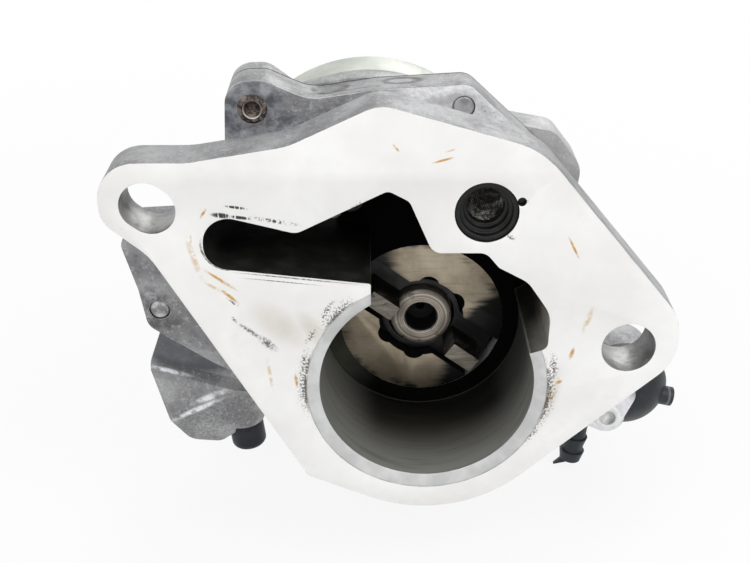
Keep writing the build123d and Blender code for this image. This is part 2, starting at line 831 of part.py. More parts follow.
# Rubber ring in the groove round the chamber, under the cover
with BuildPart() as cover_seal:
    with BuildSketch(at_depth(cover_y - cover_seal_depth + fit_clearance)):
        with Locations(chamber_centre):
            Circle(cover_seal_r + cover_seal_width - fit_clearance)
            Circle(cover_seal_r + fit_clearance, mode=Mode.SUBTRACT)
    extrude(amount=-(cover_seal_depth - fit_clearance))
cover_seal.part.label = "cover_seal"
export_step(cover_seal.part, "parts/cover_seal.step")

# Check valve: the moulded dome with its hose nipple, pressed into the inlet boss
with BuildPart() as valve_dome:
    with BuildSketch(Plane(origin=to_space(valve_axis, 0), x_dir=(1, 0, 0), z_dir=(0, 0, 1))):
        with BuildLine():
            Line((dome_r, valve_boss_front_y), (dome_r, dome_rim_y))
            RadiusArc((dome_r, dome_rim_y), (0, dome_front_y), dome_round_r)
            Line((0, dome_front_y), (0, valve_boss_front_y))
            Line((0, valve_boss_front_y), (dome_r, valve_boss_front_y))
        make_face()
    revolve(axis=Axis(to_space(valve_axis, 0), (0, 1, 0)))
    with BuildSketch(at_depth(valve_boss_front_y)):
        with Locations(valve_axis):
            Circle(valve_bore_r - fit_clearance)
    extrude(amount=-(valve_seal_y - valve_boss_front_y))
    with BuildSketch(elbow_plane):
        Circle(elbow_r)
    extrude(amount=span(valve_axis, nipple_root))
    with Locations(to_space(nipple_root, nipple_y)):
        Sphere(elbow_r)
    with BuildSketch(nipple_plane):
        Circle(nipple_r)
    extrude(amount=nipple_length)
    with BuildSketch(at_depth(nipple_y - nipple_lug_thickness / 2)):
        Polygon(*nipple_lug, align=None)
    extrude(amount=-nipple_lug_thickness)
    for barb in nipple_barbs:
        with BuildSketch(nipple_plane.offset(barb)):
            Circle(nipple_r)
        with BuildSketch(nipple_plane.offset(barb - nipple_barb_length)):
            Circle(nipple_r + nipple_barb_height)
        loft()
    with BuildSketch(vent_plane):
        Circle(vent_r)
    extrude(amount=vent_reach)
    with BuildSketch(at_depth(dome_rim_y)):
        with Locations(valve_axis):
            Circle(valve_seat_r)
    extrude(amount=-(valve_seal_y - dome_rim_y), mode=Mode.SUBTRACT)
    with BuildSketch(elbow_plane):
        Circle(nipple_bore_r)
    extrude(amount=span(valve_axis, nipple_root), mode=Mode.SUBTRACT)
    with BuildSketch(nipple_plane):
        Circle(nipple_bore_r)
    extrude(amount=nipple_length, mode=Mode.SUBTRACT)
valve_dome.part.label = "valve_dome"
export_step(valve_dome.part, "parts/valve_dome.step")

# Rubber ring between the dome and the boss, and the parts inside the check valve
with BuildPart() as valve_seal:
    with BuildSketch(at_depth(valve_seal_y)):
        with Locations(valve_axis):
            Circle(valve_bore_r - fit_clearance)
            Circle(valve_seat_r, mode=Mode.SUBTRACT)
    extrude(amount=-(valve_seat_front_y - valve_seal_y))
valve_seal.part.label = "valve_seal"
export_step(valve_seal.part, "parts/valve_seal.step")

with BuildPart() as valve_seat:
    with BuildSketch(at_depth(valve_seat_front_y)):
        with Locations(valve_axis):
            Circle(valve_bore_r - fit_clearance)
            Circle(valve_seat_r, mode=Mode.SUBTRACT)
    extrude(amount=-(valve_seat_back_y - valve_seat_front_y))
valve_seat.part.label = "valve_seat"
export_step(valve_seat.part, "parts/valve_seat.step")

with BuildPart() as valve_disc:
    with BuildSketch(at_depth(valve_seat_back_y)):
        with Locations(valve_axis):
            Circle(valve_disc_r)
    extrude(amount=-valve_disc_thickness)
valve_disc.part.label = "valve_disc"
export_step(valve_disc.part, "parts/valve_disc.step")

valve_spring_y = valve_seat_back_y + valve_disc_thickness + valve_spring_wire_r
with BuildPart() as valve_spring:
    with BuildLine() as valve_coil:
        Helix(
            pitch=valve_spring_pitch,
            height=valve_bore_back_y - valve_spring_wire_r - valve_spring_y,
            radius=valve_spring_r,
            center=to_space(valve_axis, valve_spring_y),
            direction=(0, 1, 0),
        )
    with BuildSketch(valve_coil.line ^ 0):
        Circle(valve_spring_wire_r)
    sweep(path=valve_coil.line)
valve_spring.part.label = "valve_spring"
export_step(valve_spring.part, "parts/valve_spring.step")

# Exhaust reed lying over the exhaust hole, its curved-up stop and their screw
with BuildPart() as reed_valve:
    with BuildSketch(at_depth(joint_y - reed_thickness)):
        with Locations(Location(reed_middle, reed_angle)):
            SlotCenterToCenter(reed_span, reed_width)
        with Locations(reed_screw_point):
            Circle(reed_screw_r + hole_clearance, mode=Mode.SUBTRACT)
    extrude(amount=-reed_thickness)
reed_valve.part.label = "reed_valve"
export_step(reed_valve.part, "parts/reed_valve.step")

with BuildPart() as reed_stop:
    with BuildSketch(Plane(origin=to_space(reed_screw_point, 0), x_dir=reed_run, z_dir=reed_across)):
        with BuildLine():
            Polyline(
                (-reed_width / 2, stop_back_y),
                (reed_clamp_length, stop_back_y),
                (reed_span + reed_width / 2, stop_back_y - stop_lift),
                (reed_span + reed_width / 2, stop_back_y - stop_lift - stop_thickness),
                (reed_clamp_length, stop_back_y - stop_thickness),
                (-reed_width / 2, stop_back_y - stop_thickness),
                close=True,
            )
        make_face()
    extrude(amount=reed_width / 2, both=True)
    with BuildSketch(at_depth(stop_back_y - stop_lift - stop_thickness)):
        with Locations(Location(reed_middle, reed_angle)):
            SlotCenterToCenter(reed_span, reed_width)
        with Locations(reed_screw_point):
            Circle(reed_screw_r + hole_clearance, mode=Mode.SUBTRACT)
    extrude(amount=-(stop_lift + stop_thickness), mode=Mode.INTERSECT)
reed_stop.part.label = "reed_stop"
export_step(reed_stop.part, "parts/reed_stop.step")

with BuildPart() as reed_screw:
    with BuildSketch(at_depth(reed_head_back_y)):
        with Locations(reed_screw_point):
            Circle(reed_screw_r - fit_clearance)
    extrude(amount=-(joint_y + reed_screw_depth - reed_head_back_y - hole_clearance))
    with BuildSketch(at_depth(reed_head_back_y - reed_screw_head)):
        with Locations(reed_screw_point):
            Circle(reed_screw_head_r)
    extrude(amount=-reed_screw_head)
    with BuildSketch(at_depth(reed_head_back_y - reed_screw_head)):
        with Locations(reed_screw_point):
            RegularPolygon(reed_socket_r, 6)
    extrude(amount=-reed_socket_depth, mode=Mode.SUBTRACT)
reed_screw.part.label = "reed_screw"
export_step(reed_screw.part, "parts/reed_screw.step")

# Black rubber plug pressed into the drilling at the lump's lower end
with BuildPart() as body_plug:
    with BuildSketch(plug_plane):
        Circle(plug_hole_r - fit_clearance)
    extrude(amount=plug_boss_reach)
    with BuildSketch(plug_plane.offset(plug_boss_reach)):
        Circle(plug_head_r)
    extrude(amount=plug_head_reach - plug_boss_reach)
    fillet(body_plug.faces().sort_by(Axis(plug_plane.origin, plug_plane.z_dir))[-1].edges(), plug_rounding)
body_plug.part.label = "body_plug"
export_step(body_plug.part, "parts/body_plug.step")
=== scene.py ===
import math

import bpy
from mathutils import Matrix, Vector
from mathutils.bvhtree import BVHTree


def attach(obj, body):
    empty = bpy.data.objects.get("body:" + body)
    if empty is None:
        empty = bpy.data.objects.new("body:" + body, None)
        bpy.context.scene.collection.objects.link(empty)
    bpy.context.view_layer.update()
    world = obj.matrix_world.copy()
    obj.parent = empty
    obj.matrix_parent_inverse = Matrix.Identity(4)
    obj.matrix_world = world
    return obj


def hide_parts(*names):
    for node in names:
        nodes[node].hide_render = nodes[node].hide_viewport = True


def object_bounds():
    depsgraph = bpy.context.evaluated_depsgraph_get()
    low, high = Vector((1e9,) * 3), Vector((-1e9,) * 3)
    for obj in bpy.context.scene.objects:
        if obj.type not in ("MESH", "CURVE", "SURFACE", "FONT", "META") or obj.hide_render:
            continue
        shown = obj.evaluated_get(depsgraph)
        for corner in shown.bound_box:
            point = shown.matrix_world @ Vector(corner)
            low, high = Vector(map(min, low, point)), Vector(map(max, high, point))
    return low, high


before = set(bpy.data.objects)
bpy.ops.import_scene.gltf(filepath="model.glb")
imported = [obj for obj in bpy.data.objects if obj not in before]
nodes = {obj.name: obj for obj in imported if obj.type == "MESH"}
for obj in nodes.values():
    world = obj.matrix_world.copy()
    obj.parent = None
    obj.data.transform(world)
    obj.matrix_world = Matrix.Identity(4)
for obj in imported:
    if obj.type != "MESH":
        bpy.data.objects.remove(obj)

cad_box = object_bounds()
mm = 0.001

# The set: a plain white floor, and a camera at the photo's place.
# The pump is seen from its drive side, from 27 degrees above the drive axis.
floor_z = cad_box[0].z - 0.5 * mm
bpy.ops.object.select_all(action="DESELECT")
bpy.ops.mesh.primitive_plane_add(size=12, location=(0, 0.1, floor_z))
floor = bpy.context.object
floor.name = "floor"
bpy.ops.object.transform_apply(location=True)

camera = bpy.data.cameras.new("camera")
camera.lens = 57.6
camera.sensor_width = 36
camera.clip_start = 0.01
camera.clip_end = 5
camera_object = bpy.data.objects.new("camera", camera)
bpy.context.scene.collection.objects.link(camera_object)
camera_place = Vector((-0.010554, -0.190003, 0.118401))
camera_target = Vector((-0.009647, 0.0, 0.022298))
camera_object.location = camera_place
camera_object.rotation_euler = (camera_target - camera_place).to_track_quat("-Z", "Y").to_euler()
bpy.context.scene.camera = camera_object
bpy.context.scene.view_settings.view_transform = "Standard"


class Socket:
    """A shader value that can be added, multiplied and compared like a number."""

    def __init__(self, tree, link):
        self.tree = tree
        self.link = link

    def maths(self, operation, *others):
        made = self.tree.nodes.new("ShaderNodeMath")
        made.operation = operation
        for place, value in enumerate((self, *others)):
            if isinstance(value, Socket):
                self.tree.links.new(value.link, made.inputs[place])
            else:
                made.inputs[place].default_value = value
        return Socket(self.tree, made.outputs[0])

    def __add__(self, other):
        return self.maths("ADD", other)

    __radd__ = __add__

    def __mul__(self, other):
        return self.maths("MULTIPLY", other)

    __rmul__ = __mul__

    def __sub__(self, other):
        return self.maths("SUBTRACT", other)

    def __rsub__(self, other):
        return (self * -1.0) + other

    def __lt__(self, other):
        return self.maths("LESS_THAN", other)

    def __gt__(self, other):
        return self.maths("GREATER_THAN", other)

    def __or__(self, other):
        return self.maths("MAXIMUM", other)


class Finish:
    """One material: its nodes are added by type, settings and inputs."""

    def __init__(self, name, metallic=0.0, roughness=0.5, color=(0.5, 0.5, 0.5)):
        self.material = bpy.data.materials.new(name)
        self.material.use_nodes = True
        self.tree = self.material.node_tree
        self.surface = self.tree.nodes["Principled BSDF"]
        self.surface.inputs["Metallic"].default_value = metallic
        self.surface.inputs["Roughness"].default_value = roughness
        self.surface.inputs["Base Color"].default_value = (*color, 1)
        self.place = self.add("ShaderNodeTexCoord", "Object")

    def add(self, kind, output=0, settings=(), **inputs):
        made = self.tree.nodes.new(kind)
        for key, value in dict(settings).items():
            setattr(made, key, value)
        for key, value in inputs.items():
            numbered = key[0] == "i" and key[1:].isdigit()
            socket = made.inputs[int(key[1:]) if numbered else key.replace("_", " ")]
            if isinstance(value, Socket):
                self.tree.links.new(value.link, socket)
            else:
                socket.default_value = value
        return Socket(self.tree, made.outputs[output])

    def noise(self, scale, detail=3.0, roughness=0.6, vector=None):
        return self.add("ShaderNodeTexNoise", Vector=vector or self.place,
                        Scale=scale, Detail=detail, Roughness=roughness)

    def step(self, value, low, high):
        """0 below low and 1 above high, with a smooth rise between them."""
        return self.add("ShaderNodeMapRange", settings={"interpolation_type": "SMOOTHSTEP"},
                        i0=value, i1=low, i2=high)

    def dots(self, scale, size):
        """Small round specks of uneven size, 1 inside and 0 outside."""
        distance = self.add("ShaderNodeTexVoronoi", Vector=self.place, Scale=scale)
        return self.step(distance + self.noise(scale * 0.7, 1.0) * 0.5, size + 0.25, size + 0.15)

    def stretched(self, angle, along, across):
        """Object coordinates turned across the drive axis and scaled apart, for one-way scratches."""
        return self.add("ShaderNodeMapping", Vector=self.place,
                        Rotation=(0, math.radians(angle), 0), Scale=(along, along, across))

    def patch(self, x, z, half_length, half_width, angle, soft=0.6):
        """An oval across the drive axis: centre and half sizes in millimetres, turn in degrees."""
        local = self.add("ShaderNodeMapping", settings={"vector_type": "TEXTURE"}, Vector=self.place,
                         Location=(x * mm, 0, z * mm), Rotation=(0, -math.radians(angle), 0),
                         Scale=(half_length * mm, 1, half_width * mm))
        distance = self.add("ShaderNodeVectorMath", "Value", {"operation": "LENGTH"}, i0=local)
        return self.step(distance, 1.0, 1.0 - soft)

    def hollow(self, place, sizes, angle, soft=0.6):
        """A rounded blot in space: centre and half sizes in millimetres, turn in degrees."""
        local = self.add("ShaderNodeMapping", settings={"vector_type": "TEXTURE"}, Vector=self.place,
                         Location=tuple(part * mm for part in place),
                         Rotation=(0, -math.radians(angle), 0),
                         Scale=tuple(part * mm for part in sizes))
        distance = self.add("ShaderNodeVectorMath", "Value", {"operation": "LENGTH"}, i0=local)
        return self.step(distance, 1.0, 1.0 - soft)

    def patches(self, *ovals, soft=0.6):
        """Several such ovals as one mask."""
        total = self.patch(*ovals[0], soft=soft)
        for oval in ovals[1:]:
            total = total | self.patch(*oval, soft=soft)
        return total

    def mix(self, factor, first, second):
        first, second = [(*value, 1) if isinstance(value,
                                                   tuple) else value for value in (first, second)]
        return self.add("ShaderNodeMix", 2, {"data_type": "RGBA"}, i0=factor, i6=first, i7=second)

    def mottled(self, scale, detail, low, high, first, second):
        """Two colours in blotches: the second one where the noise lies above low to high."""
        return self.mix(self.step(self.noise(scale, detail), low, high), first, second)

    def paint(self, factor, colour):
        """Lays one more colour over what the finish has so far."""
        self.colour = self.mix(factor, self.colour, colour)

    def axis(self, name):
        return self.add("ShaderNodeSeparateXYZ", name, Vector=self.place)

    def facing(self, name):
        """One part of the surface's own direction."""
        return self.add("ShaderNodeSeparateXYZ", name,
                        Vector=self.add("ShaderNodeNewGeometry", "Normal"))

    def radius(self, x=0.0, z=0.0):
        """The distance from a line along the drive axis, in metres."""
        flat = self.add("ShaderNodeVectorMath", 0, {"operation": "MULTIPLY"}, i0=self.place,
                        i1=(1, 0, 1))
        return self.add("ShaderNodeVectorMath", "Value", {"operation": "DISTANCE"},
                        i0=flat, i1=(x * mm, 0, z * mm))

    def set(self, **inputs):
        for key, value in inputs.items():
            self.tree.links.new(value.link, self.surface.inputs[key.replace("_", " ")])
        return self

    def bump(self, height, distance=0.2 * mm, strength=1.0):
        return self.set(Normal=self.add("ShaderNodeBump", Height=height, Distance=distance,
                                        Strength=strength))


floor_finish = Finish("white_floor", roughness=0.9)
floor_tree = floor_finish.tree
seen = (floor_finish.add("ShaderNodeLightPath", "Is Camera Ray")
        | floor_finish.add("ShaderNodeLightPath", "Is Glossy Ray")
        | floor_finish.add("ShaderNodeLightPath", "Is Transmission Ray"))
floor_white = floor_finish.mix(floor_finish.noise(3.0), (0.88, 0.88, 0.88), (0.92, 0.92, 0.92))
floor_finish.set(Base_Color=floor_white)
white = floor_finish.add("ShaderNodeEmission", Color=(1, 1, 1, 1), Strength=1.0)
from_pump = floor_finish.add("ShaderNodeVectorMath", "Value", {"operation": "LENGTH"}, i0=floor_finish.place)
far_off = floor_finish.step(from_pump, 0.12, 0.5)
blended = floor_finish.add("ShaderNodeMixShader", i0=seen * (far_off * 0.14 + 0.86),
                           i1=Socket(floor_tree, floor_finish.surface.outputs[0]), i2=white)
floor_tree.links.new(blended.link, floor_tree.nodes["Material Output"].inputs["Surface"])
floor.data.materials.append(floor_finish.material)

world = bpy.data.worlds.new("studio")
bpy.context.scene.world = world
world.use_nodes = True
world_tree = world.node_tree
light_path = world_tree.nodes.new("ShaderNodeLightPath")
world_seen = (Socket(world_tree, light_path.outputs["Is Camera Ray"])
              | Socket(world_tree, light_path.outputs["Is Glossy Ray"])
              | Socket(world_tree, light_path.outputs["Is Transmission Ray"]))
sky = world_tree.nodes.new("ShaderNodeMix")
sky.data_type = "RGBA"
sky.inputs[6].default_value = (0.46, 0.47, 0.475, 1)
sky.inputs[7].default_value = (1, 1, 1, 1)
world_tree.links.new(world_seen.link, sky.inputs[0])
world_tree.links.new(sky.outputs[2], world_tree.nodes["Background"].inputs["Color"])


def lamp(name, place, size, power):
    """A square soft light that faces the pump."""
    data = bpy.data.lights.new(name, "AREA")
    data.size = size
    data.energy = power
    made = bpy.data.objects.new(name, data)
    bpy.context.scene.collection.objects.link(made)
    made.location = place
    made.rotation_euler = (Vector((0, 0.02, 0)) - Vector(place)).to_track_quat("-Z", "Y").to_euler()


lamp("key", (-0.28, -0.42, 0.5), 0.4, 1.7)
lamp("fill", (0.40, -0.36, 0.5), 0.4, 2.0)
lamp("back", (0.2, 0.6, 0.4), 0.5, 1.6)


# Front housing: one aluminium die casting. Its flange face, bolt holes and bore are machined
# bright, and the outside and the exhaust channel keep the rough grey skin of the mould.
def selected_copy(node_name, piece_name):
    """A copy of a CAD node's mesh as a new piece, its corners merged and its flat faces made whole."""
    copy = bpy.data.objects.new(piece_name, nodes[node_name].data.copy())
    bpy.context.scene.collection.objects.link(copy)
    bpy.ops.object.select_all(action="DESELECT")
    bpy.context.view_layer.objects.active = copy
    copy.select_set(True)
    bpy.ops.object.mode_set(mode="EDIT")
    bpy.ops.mesh.select_all(action="SELECT")
    bpy.ops.mesh.remove_doubles(threshold=0.01 * mm)
    bpy.ops.mesh.dissolve_limited(angle_limit=math.radians(1))
    bpy.ops.object.mode_set(mode="OBJECT")
    copy.data.materials.clear()
    return copy


def rounded(piece, width, angle=35, segments=2, edge_slot=-1):
    """Rounds the piece's edges by that width, as a mould or a cutter's chamfer leaves them."""
    bevel = piece.modifiers.new("edges", "BEVEL")
    bevel.width = width
    bevel.material = edge_slot
    bevel.segments = segments
    bevel.limit_method = "ANGLE"
    bevel.angle_limit = math.radians(angle)
    bpy.ops.object.select_all(action="DESELECT")
    bpy.context.view_layer.objects.active = piece
    piece.select_set(True)
    bpy.ops.object.modifier_apply(modifier="edges")
    bpy.ops.object.shade_smooth_by_angle(angle=math.radians(35))
    return piece


def cast_skin(name, dark, light, metallic=0.35):
    """Die-cast aluminium: grey blotches, dark oily specks and a fine grain."""
    made = Finish(name, metallic=metallic, roughness=0.5)
    blotch = made.step(made.noise(110.0, 5.0), 0.36, 0.66)
    made.colour = made.mix(blotch, dark, light)
    made.paint(made.step(made.noise(620.0), 0.52, 0.72) * 0.35, tuple(level * 0.45 for level in dark))
    made.specks = made.dots(2000.0, 0.14) * made.step(made.noise(150.0), 0.42, 0.60)
    made.paint(made.specks * 0.75, (0.035, 0.035, 0.037))
    made.paint(made.step(made.noise(1500.0, 2.0), 0.56, 0.68) * 0.4,
               tuple(level * 1.5 for level in light))
    made.grain = made.noise(1500.0) * 0.5 + made.noise(260.0) - made.specks * 0.6
    made.set(Roughness=made.noise(300.0) * 0.35 + 0.32)
    return made


front_cast = cast_skin("front_cast_skin", (0.21, 0.21, 0.215), (0.38, 0.38, 0.385))
# The upper left ear's front face is painted dark bluish grey: oil, and painted shade where it lies set back
# behind the flange.
ear_shade = front_cast.patches((-32.5, 47.5, 8.5, 7.0, 20), (-24.0, 43.0, 9.0, 4.6, -18), soft=0.45)
ear_depth = front_cast.axis("Y") > 14 * mm
ear_face = ear_shade * ear_depth * (front_cast.facing("Y") < -0.7)
oily_blue_and_shade = front_cast.mottled(330.0, 3.0, 0.35, 0.65, (0.10, 0.105, 0.12), (0.36, 0.37, 0.40))
front_cast.paint(ear_face * 0.9, oily_blue_and_shade)
ear_ring = front_cast.patch(-31.2, 46.2, 4.4, 3.9, -30, soft=0.9) * ear_depth * 0.8
front_cast.paint(ear_ring * front_cast.step(front_cast.noise(500.0), 0.3, 0.55), (0.05, 0.043, 0.038))
# The upper right and lower right ears are painted pale: painted light, standing in for the light that falls
# on them.
pale_ears_painted_light = front_cast.patches((7.0, 46.5, 17.0, 8.0, -18), (38.6, -19.0, 8.5, 8.5, 0), soft=0.4)
pale_ears_painted_light = pale_ears_painted_light * ear_depth * (front_cast.facing("Y") < -0.7)
pale_painted_light_metal = front_cast.mottled(700.0, 3.0, 0.35, 0.65, (0.80, 0.80, 0.81), (0.97, 0.96, 0.98))
front_cast.paint(pale_ears_painted_light * 0.9, pale_painted_light_metal)
speckled_ears = front_cast.patches((11.5, 45.0, 7.5, 4.0, -40), (24.0, 36.0, 10.0, 4.0, -50),
                                   (-4.0, 47.0, 3.0, 2.5, 0))
ear_specks = front_cast.dots(2100.0, 0.20) * speckled_ears
front_cast.paint(ear_specks * 0.85, (0.06, 0.06, 0.062))
left_ear_grime = front_cast.patch(-52.0, 5.5, 8.0, 5.0, -60, soft=0.5) * ear_depth
left_ear_grime = left_ear_grime * front_cast.step(front_cast.noise(420.0), 0.42, 0.62)
front_cast.paint(left_ear_grime * 0.8, (0.09, 0.088, 0.085))
pit_rim = front_cast.hollow((-17.6, 24.0, 49.6), (4.4, 3.6, 3.2), -12, soft=0.25)
pit = front_cast.hollow((-17.4, 24.0, 49.4), (3.6, 2.8, 3.0), -12, soft=0.5)
front_cast.paint(pit_rim * front_cast.step(front_cast.noise(600.0), 0.3, 0.6) * 0.8, (0.05, 0.05, 0.05))
front_cast.paint(pit * 0.8, (0.22, 0.22, 0.225))
oval_rim = front_cast.hollow((-4.3, 24.0, 51.0), (4.6, 2.6, 3.0), -4, soft=0.25)
oval = front_cast.hollow((-4.3, 24.0, 51.0), (3.6, 1.7, 3.0), -4, soft=0.5)
front_cast.paint((oval_rim - oval) * 0.8, (0.05, 0.05, 0.052))
right_seam = front_cast.hollow((-14.0, 21.6, 49.5), (14.0, 0.5, 6.0), -8, soft=0.9)
left_seam = front_cast.hollow((-27.0, 24.5, 50.0), (8.0, 0.45, 6.0), -10, soft=0.9)
top_seams = (right_seam | left_seam) * front_cast.step(front_cast.noise(400.0), 0.35, 0.55)
front_cast.paint(top_seams * 0.7, (0.06, 0.06, 0.06))
front_cast.set(Base_Color=front_cast.colour)
front_cast.bump(front_cast.grain - ear_specks - (pit + oval) * 1.5, distance=0.3 * mm, strength=0.8)

machined = Finish("machined_face", metallic=0.15, roughness=0.42)
machined.colour = machined.mottled(38.0, 4.0, 0.35, 0.7, (0.80, 0.785, 0.765), (0.895, 0.885, 0.875))
machined.paint(machined.step(machined.noise(160.0, 4.0), 0.55, 0.8) * 0.25, (0.68, 0.64, 0.60))
broken = machined.step(machined.noise(900.0, 3.0), 0.38, 0.52)
crumbled = machined.step(machined.noise(1900.0, 2.0), 0.44, 0.54)
orange_marks = machined.patches(
    (-37.0, 22.6, 4.2, 0.40, -36.0), (-35.6, 19.4, 2.8, 0.42, -42.3), (-39.3, 35.5, 1.4, 0.32, 57),
    (-24.2, 1.7, 1.9, 0.42, -84.4), (-6.1, 47.4, 1.1, 0.26, -51.6), (1.9, 45.2, 2.4, 0.30, 16),
    (25.2, 28.8, 3.0, 0.30, -63.3), (26.4, 7.4, 1.7, 0.50, 77.9), (24.4, 1.3, 0.9, 0.50, 28.8),
    (22.4, -2.6, 3.4, 0.30, 66), soft=0.7)
faint_marks = machined.patches(
    (-38.5, 21.3, 2.4, 0.45, -33.1), (-41.8, 30.5, 1.4, 0.32, -94), (3.3, 47.0, 1.6, 0.25, 18),
    (28.8, 14.4, 3.6, 0.7, 74), (23.2, -2.2, 2.6, 0.55, 62), (-29.0, 3.0, 4.5, 0.5, -83),
    (-41.5, 27.0, 5.5, 0.8, -75), soft=0.9)
machined.paint(orange_marks * (broken * 0.55 + 0.45), (0.56, 0.29, 0.05))
machined.paint(faint_marks * broken * 0.7, (0.60, 0.40, 0.18))
haze = machined.patches((-21.0, 12.5, 6.0, 2.6, -55), (-13.0, 22.6, 8.0, 1.6, -6),
                        (22.6, -2.0, 9.5, 2.6, 77), (-27.0, 13.5, 8.0, 4.0, -40), soft=0.9)
machined.paint(haze * (machined.noise(300.0) * 0.6 + 0.1), (0.50, 0.42, 0.33))
black_marks = machined.patches((-36.2, 35.1, 2.2, 0.62, -6.5), (-33.0, 34.7, 2.4, 0.40, -8),
                               (-33.6, 36.6, 2.4, 0.32, -8), soft=0.5)
black_marks = black_marks | machined.patch(-27.0, 34.0, 6.0, 0.55, -10, soft=0.9) * crumbled
bars = machined.step(machined.noise(1.0, 2.0, vector=machined.stretched(8, 1900, 260)), 0.40, 0.50)
machined.paint(black_marks * bars, (0.025, 0.024, 0.028))
dark_specks = machined.patches(
    (-35.1, 18.2, 1.9, 0.7, -42.3), (-32.4, 12.4, 2.6, 0.6, -37.2), (-29.3, 9.6, 2.4, 0.9, -40.8),
    (-18.3, 16.4, 4.2, 0.9, -121), (-21.3, 11.2, 2.6, 1.0, -122), (-22.7, 6.0, 3.6, 0.75, -94),
    (-22.9, 0.6, 4.6, 0.5, -88), (23.3, 4.6, 4.6, 1.3, -82.7), (22.7, -2.8, 3.8, 1.1, -106),
    (20.2, -9.7, 4.4, 1.2, -114.5), (14.0, 31.0, 1.8, 0.9, -38.4), (16.4, 37.6, 0.9, 0.6, 0),
    (-12.0, 36.5, 3.0, 2.0, 20), soft=0.9)
from_axis = machined.radius()
beside_rim = machined.step(from_axis, 25.2 * mm, 22.6 * mm)
rim_sides = machined.patches((-17.5, 17.0, 6.5, 5.0, -125), (-23.0, 2.0, 10.0, 4.0, -88),
                             (22.5, -1.0, 10.5, 4.5, -98), soft=0.7)
dark_specks = dark_specks | beside_rim * rim_sides
speckle = machined.step(machined.noise(2500.0, 2.0) + dark_specks * 0.15, 0.61, 0.66)
machined.paint(dark_specks * speckle * 0.9, (0.055, 0.05, 0.045))
crack = machined.patches((-32.2, 12.2, 3.4, 0.6, -38), (-29.2, 9.7, 2.8, 1.1, -41),
                         (-35.0, 14.6, 1.0, 0.4, -60), soft=0.7)
machined.paint(crack * (crumbled * 0.75 + 0.1), (0.12, 0.118, 0.11))
loose_specks = machined.dots(420.0, 0.015) * machined.step(machined.noise(70.0), 0.5, 0.6)
machined.paint(loose_specks * 0.75, (0.12, 0.11, 0.10))
round_end = machined.radius(-35.2, 29.6)
end_line = (round_end > 4.75 * mm) * (round_end < 5.15 * mm)
end_line = end_line * machined.patch(-38.0, 26.5, 5.5, 4.5, -40, soft=0.5)
straight_edge = machined.patches((-24.0, 22.95, 13.5, 0.22, -6.4), (-26.0, 22.25, 9.0, 0.15, -6.2), soft=0.7)
channel_edge = straight_edge | end_line
machined.paint(channel_edge * (crumbled * 0.45 + 0.5), (0.13, 0.125, 0.115))
rim_line = (from_axis < 22.75 * mm) * rim_sides * machined.step(machined.noise(420.0), 0.40, 0.55)
machined.paint(rim_line * 0.85, (0.09, 0.075, 0.06))
machined.set(Base_Color=machined.colour,
             Roughness=machined.noise(240.0) * 0.22 + 0.30 + (orange_marks | dark_specks) * 0.2)
cutter_lines = machined.noise(1.0, 2.0, vector=machined.stretched(35, 60, 2400))
machined.bump(cutter_lines * 0.25 - black_marks * bars * 0.5, distance=0.05 * mm, strength=0.35)

rim_finish = Finish("turned_rim", metallic=0.45, roughness=0.33)
rim_colour = rim_finish.mottled(140.0, 3.0, 0.35, 0.7, (0.50, 0.505, 0.50), (0.66, 0.665, 0.655))
rim_wander = rim_finish.noise(500.0) * (0.5 * mm)
rim_edge = rim_finish.step(rim_finish.radius() + rim_wander, 22.35 * mm, 22.75 * mm)
rim_finish.set(Base_Color=rim_finish.mix(rim_edge * 0.6, rim_colour, (0.10, 0.09, 0.075)))
rim_finish.bump(rim_finish.noise(900.0), distance=0.04 * mm, strength=0.5)

bore_finish = Finish("bored_wall", metallic=0.35, roughness=0.4)
# The bore wall is painted darker towards its depth: painted shade with some oil. It is kept lighter on the
# left and a little on the right, painted light for the light reaching those sides.
bore_shade_and_oil = bore_finish.step(bore_finish.axis("Y"), 0.5 * mm, 19 * mm)
round_the_bore = bore_finish.add("ShaderNodeMapping", Vector=bore_finish.place, Scale=(60, 900, 60))
bore_streaks = bore_finish.noise(1.0, 4.0, vector=round_the_bore)
bore_shade_and_oil = bore_shade_and_oil * (1 - bore_finish.step(bore_finish.axis("X") * -1.0, 8 * mm, 18 * mm) * 0.85)
bore_shade_and_oil = bore_shade_and_oil * (1 - bore_finish.step(bore_finish.axis("X"), 14 * mm, 20 * mm) * 0.3)
bore_finish.colour = bore_finish.mix(bore_shade_and_oil, (0.30, 0.30, 0.28), (0.014, 0.014, 0.012))
bore_finish.paint(bore_finish.step(bore_streaks, 0.45, 0.7) * 0.35, (0.05, 0.048, 0.042))
bore_finish.paint(bore_finish.dots(500.0, 0.02) * 0.6, (0.45, 0.45, 0.43))
bore_finish.set(Base_Color=bore_finish.colour, Roughness=bore_finish.noise(200.0) * 0.3 + 0.25)
bore_finish.bump(bore_streaks, distance=0.03 * mm, strength=0.4)

# The exhaust channel is painted near black: oil, and painted shade deep in the narrow channel. channel_lit
# is a painted pool of light on its right wall.
channel_finish = Finish("oily_channel_in_shade", roughness=0.45)
channel_lit = channel_finish.patch(20.5, 13.0, 5.0, 8.0, 0, soft=0.7)
channel_lit = channel_lit * channel_finish.step(channel_finish.axis("Y"), 16 * mm, 2 * mm)
channel_finish.colour = channel_finish.mottled(220.0, 3.0, 0.4, 0.7, (0.006, 0.007, 0.006),
                                               (0.018, 0.018, 0.015))
channel_finish.paint(channel_lit * (channel_finish.noise(260.0) * 0.8 + 0.3), (0.38, 0.36, 0.32))
channel_finish.set(Base_Color=channel_finish.colour, Roughness=channel_finish.noise(300.0) * 0.3 + 0.3)
channel_finish.bump(channel_finish.noise(700.0), distance=0.2 * mm, strength=0.5)

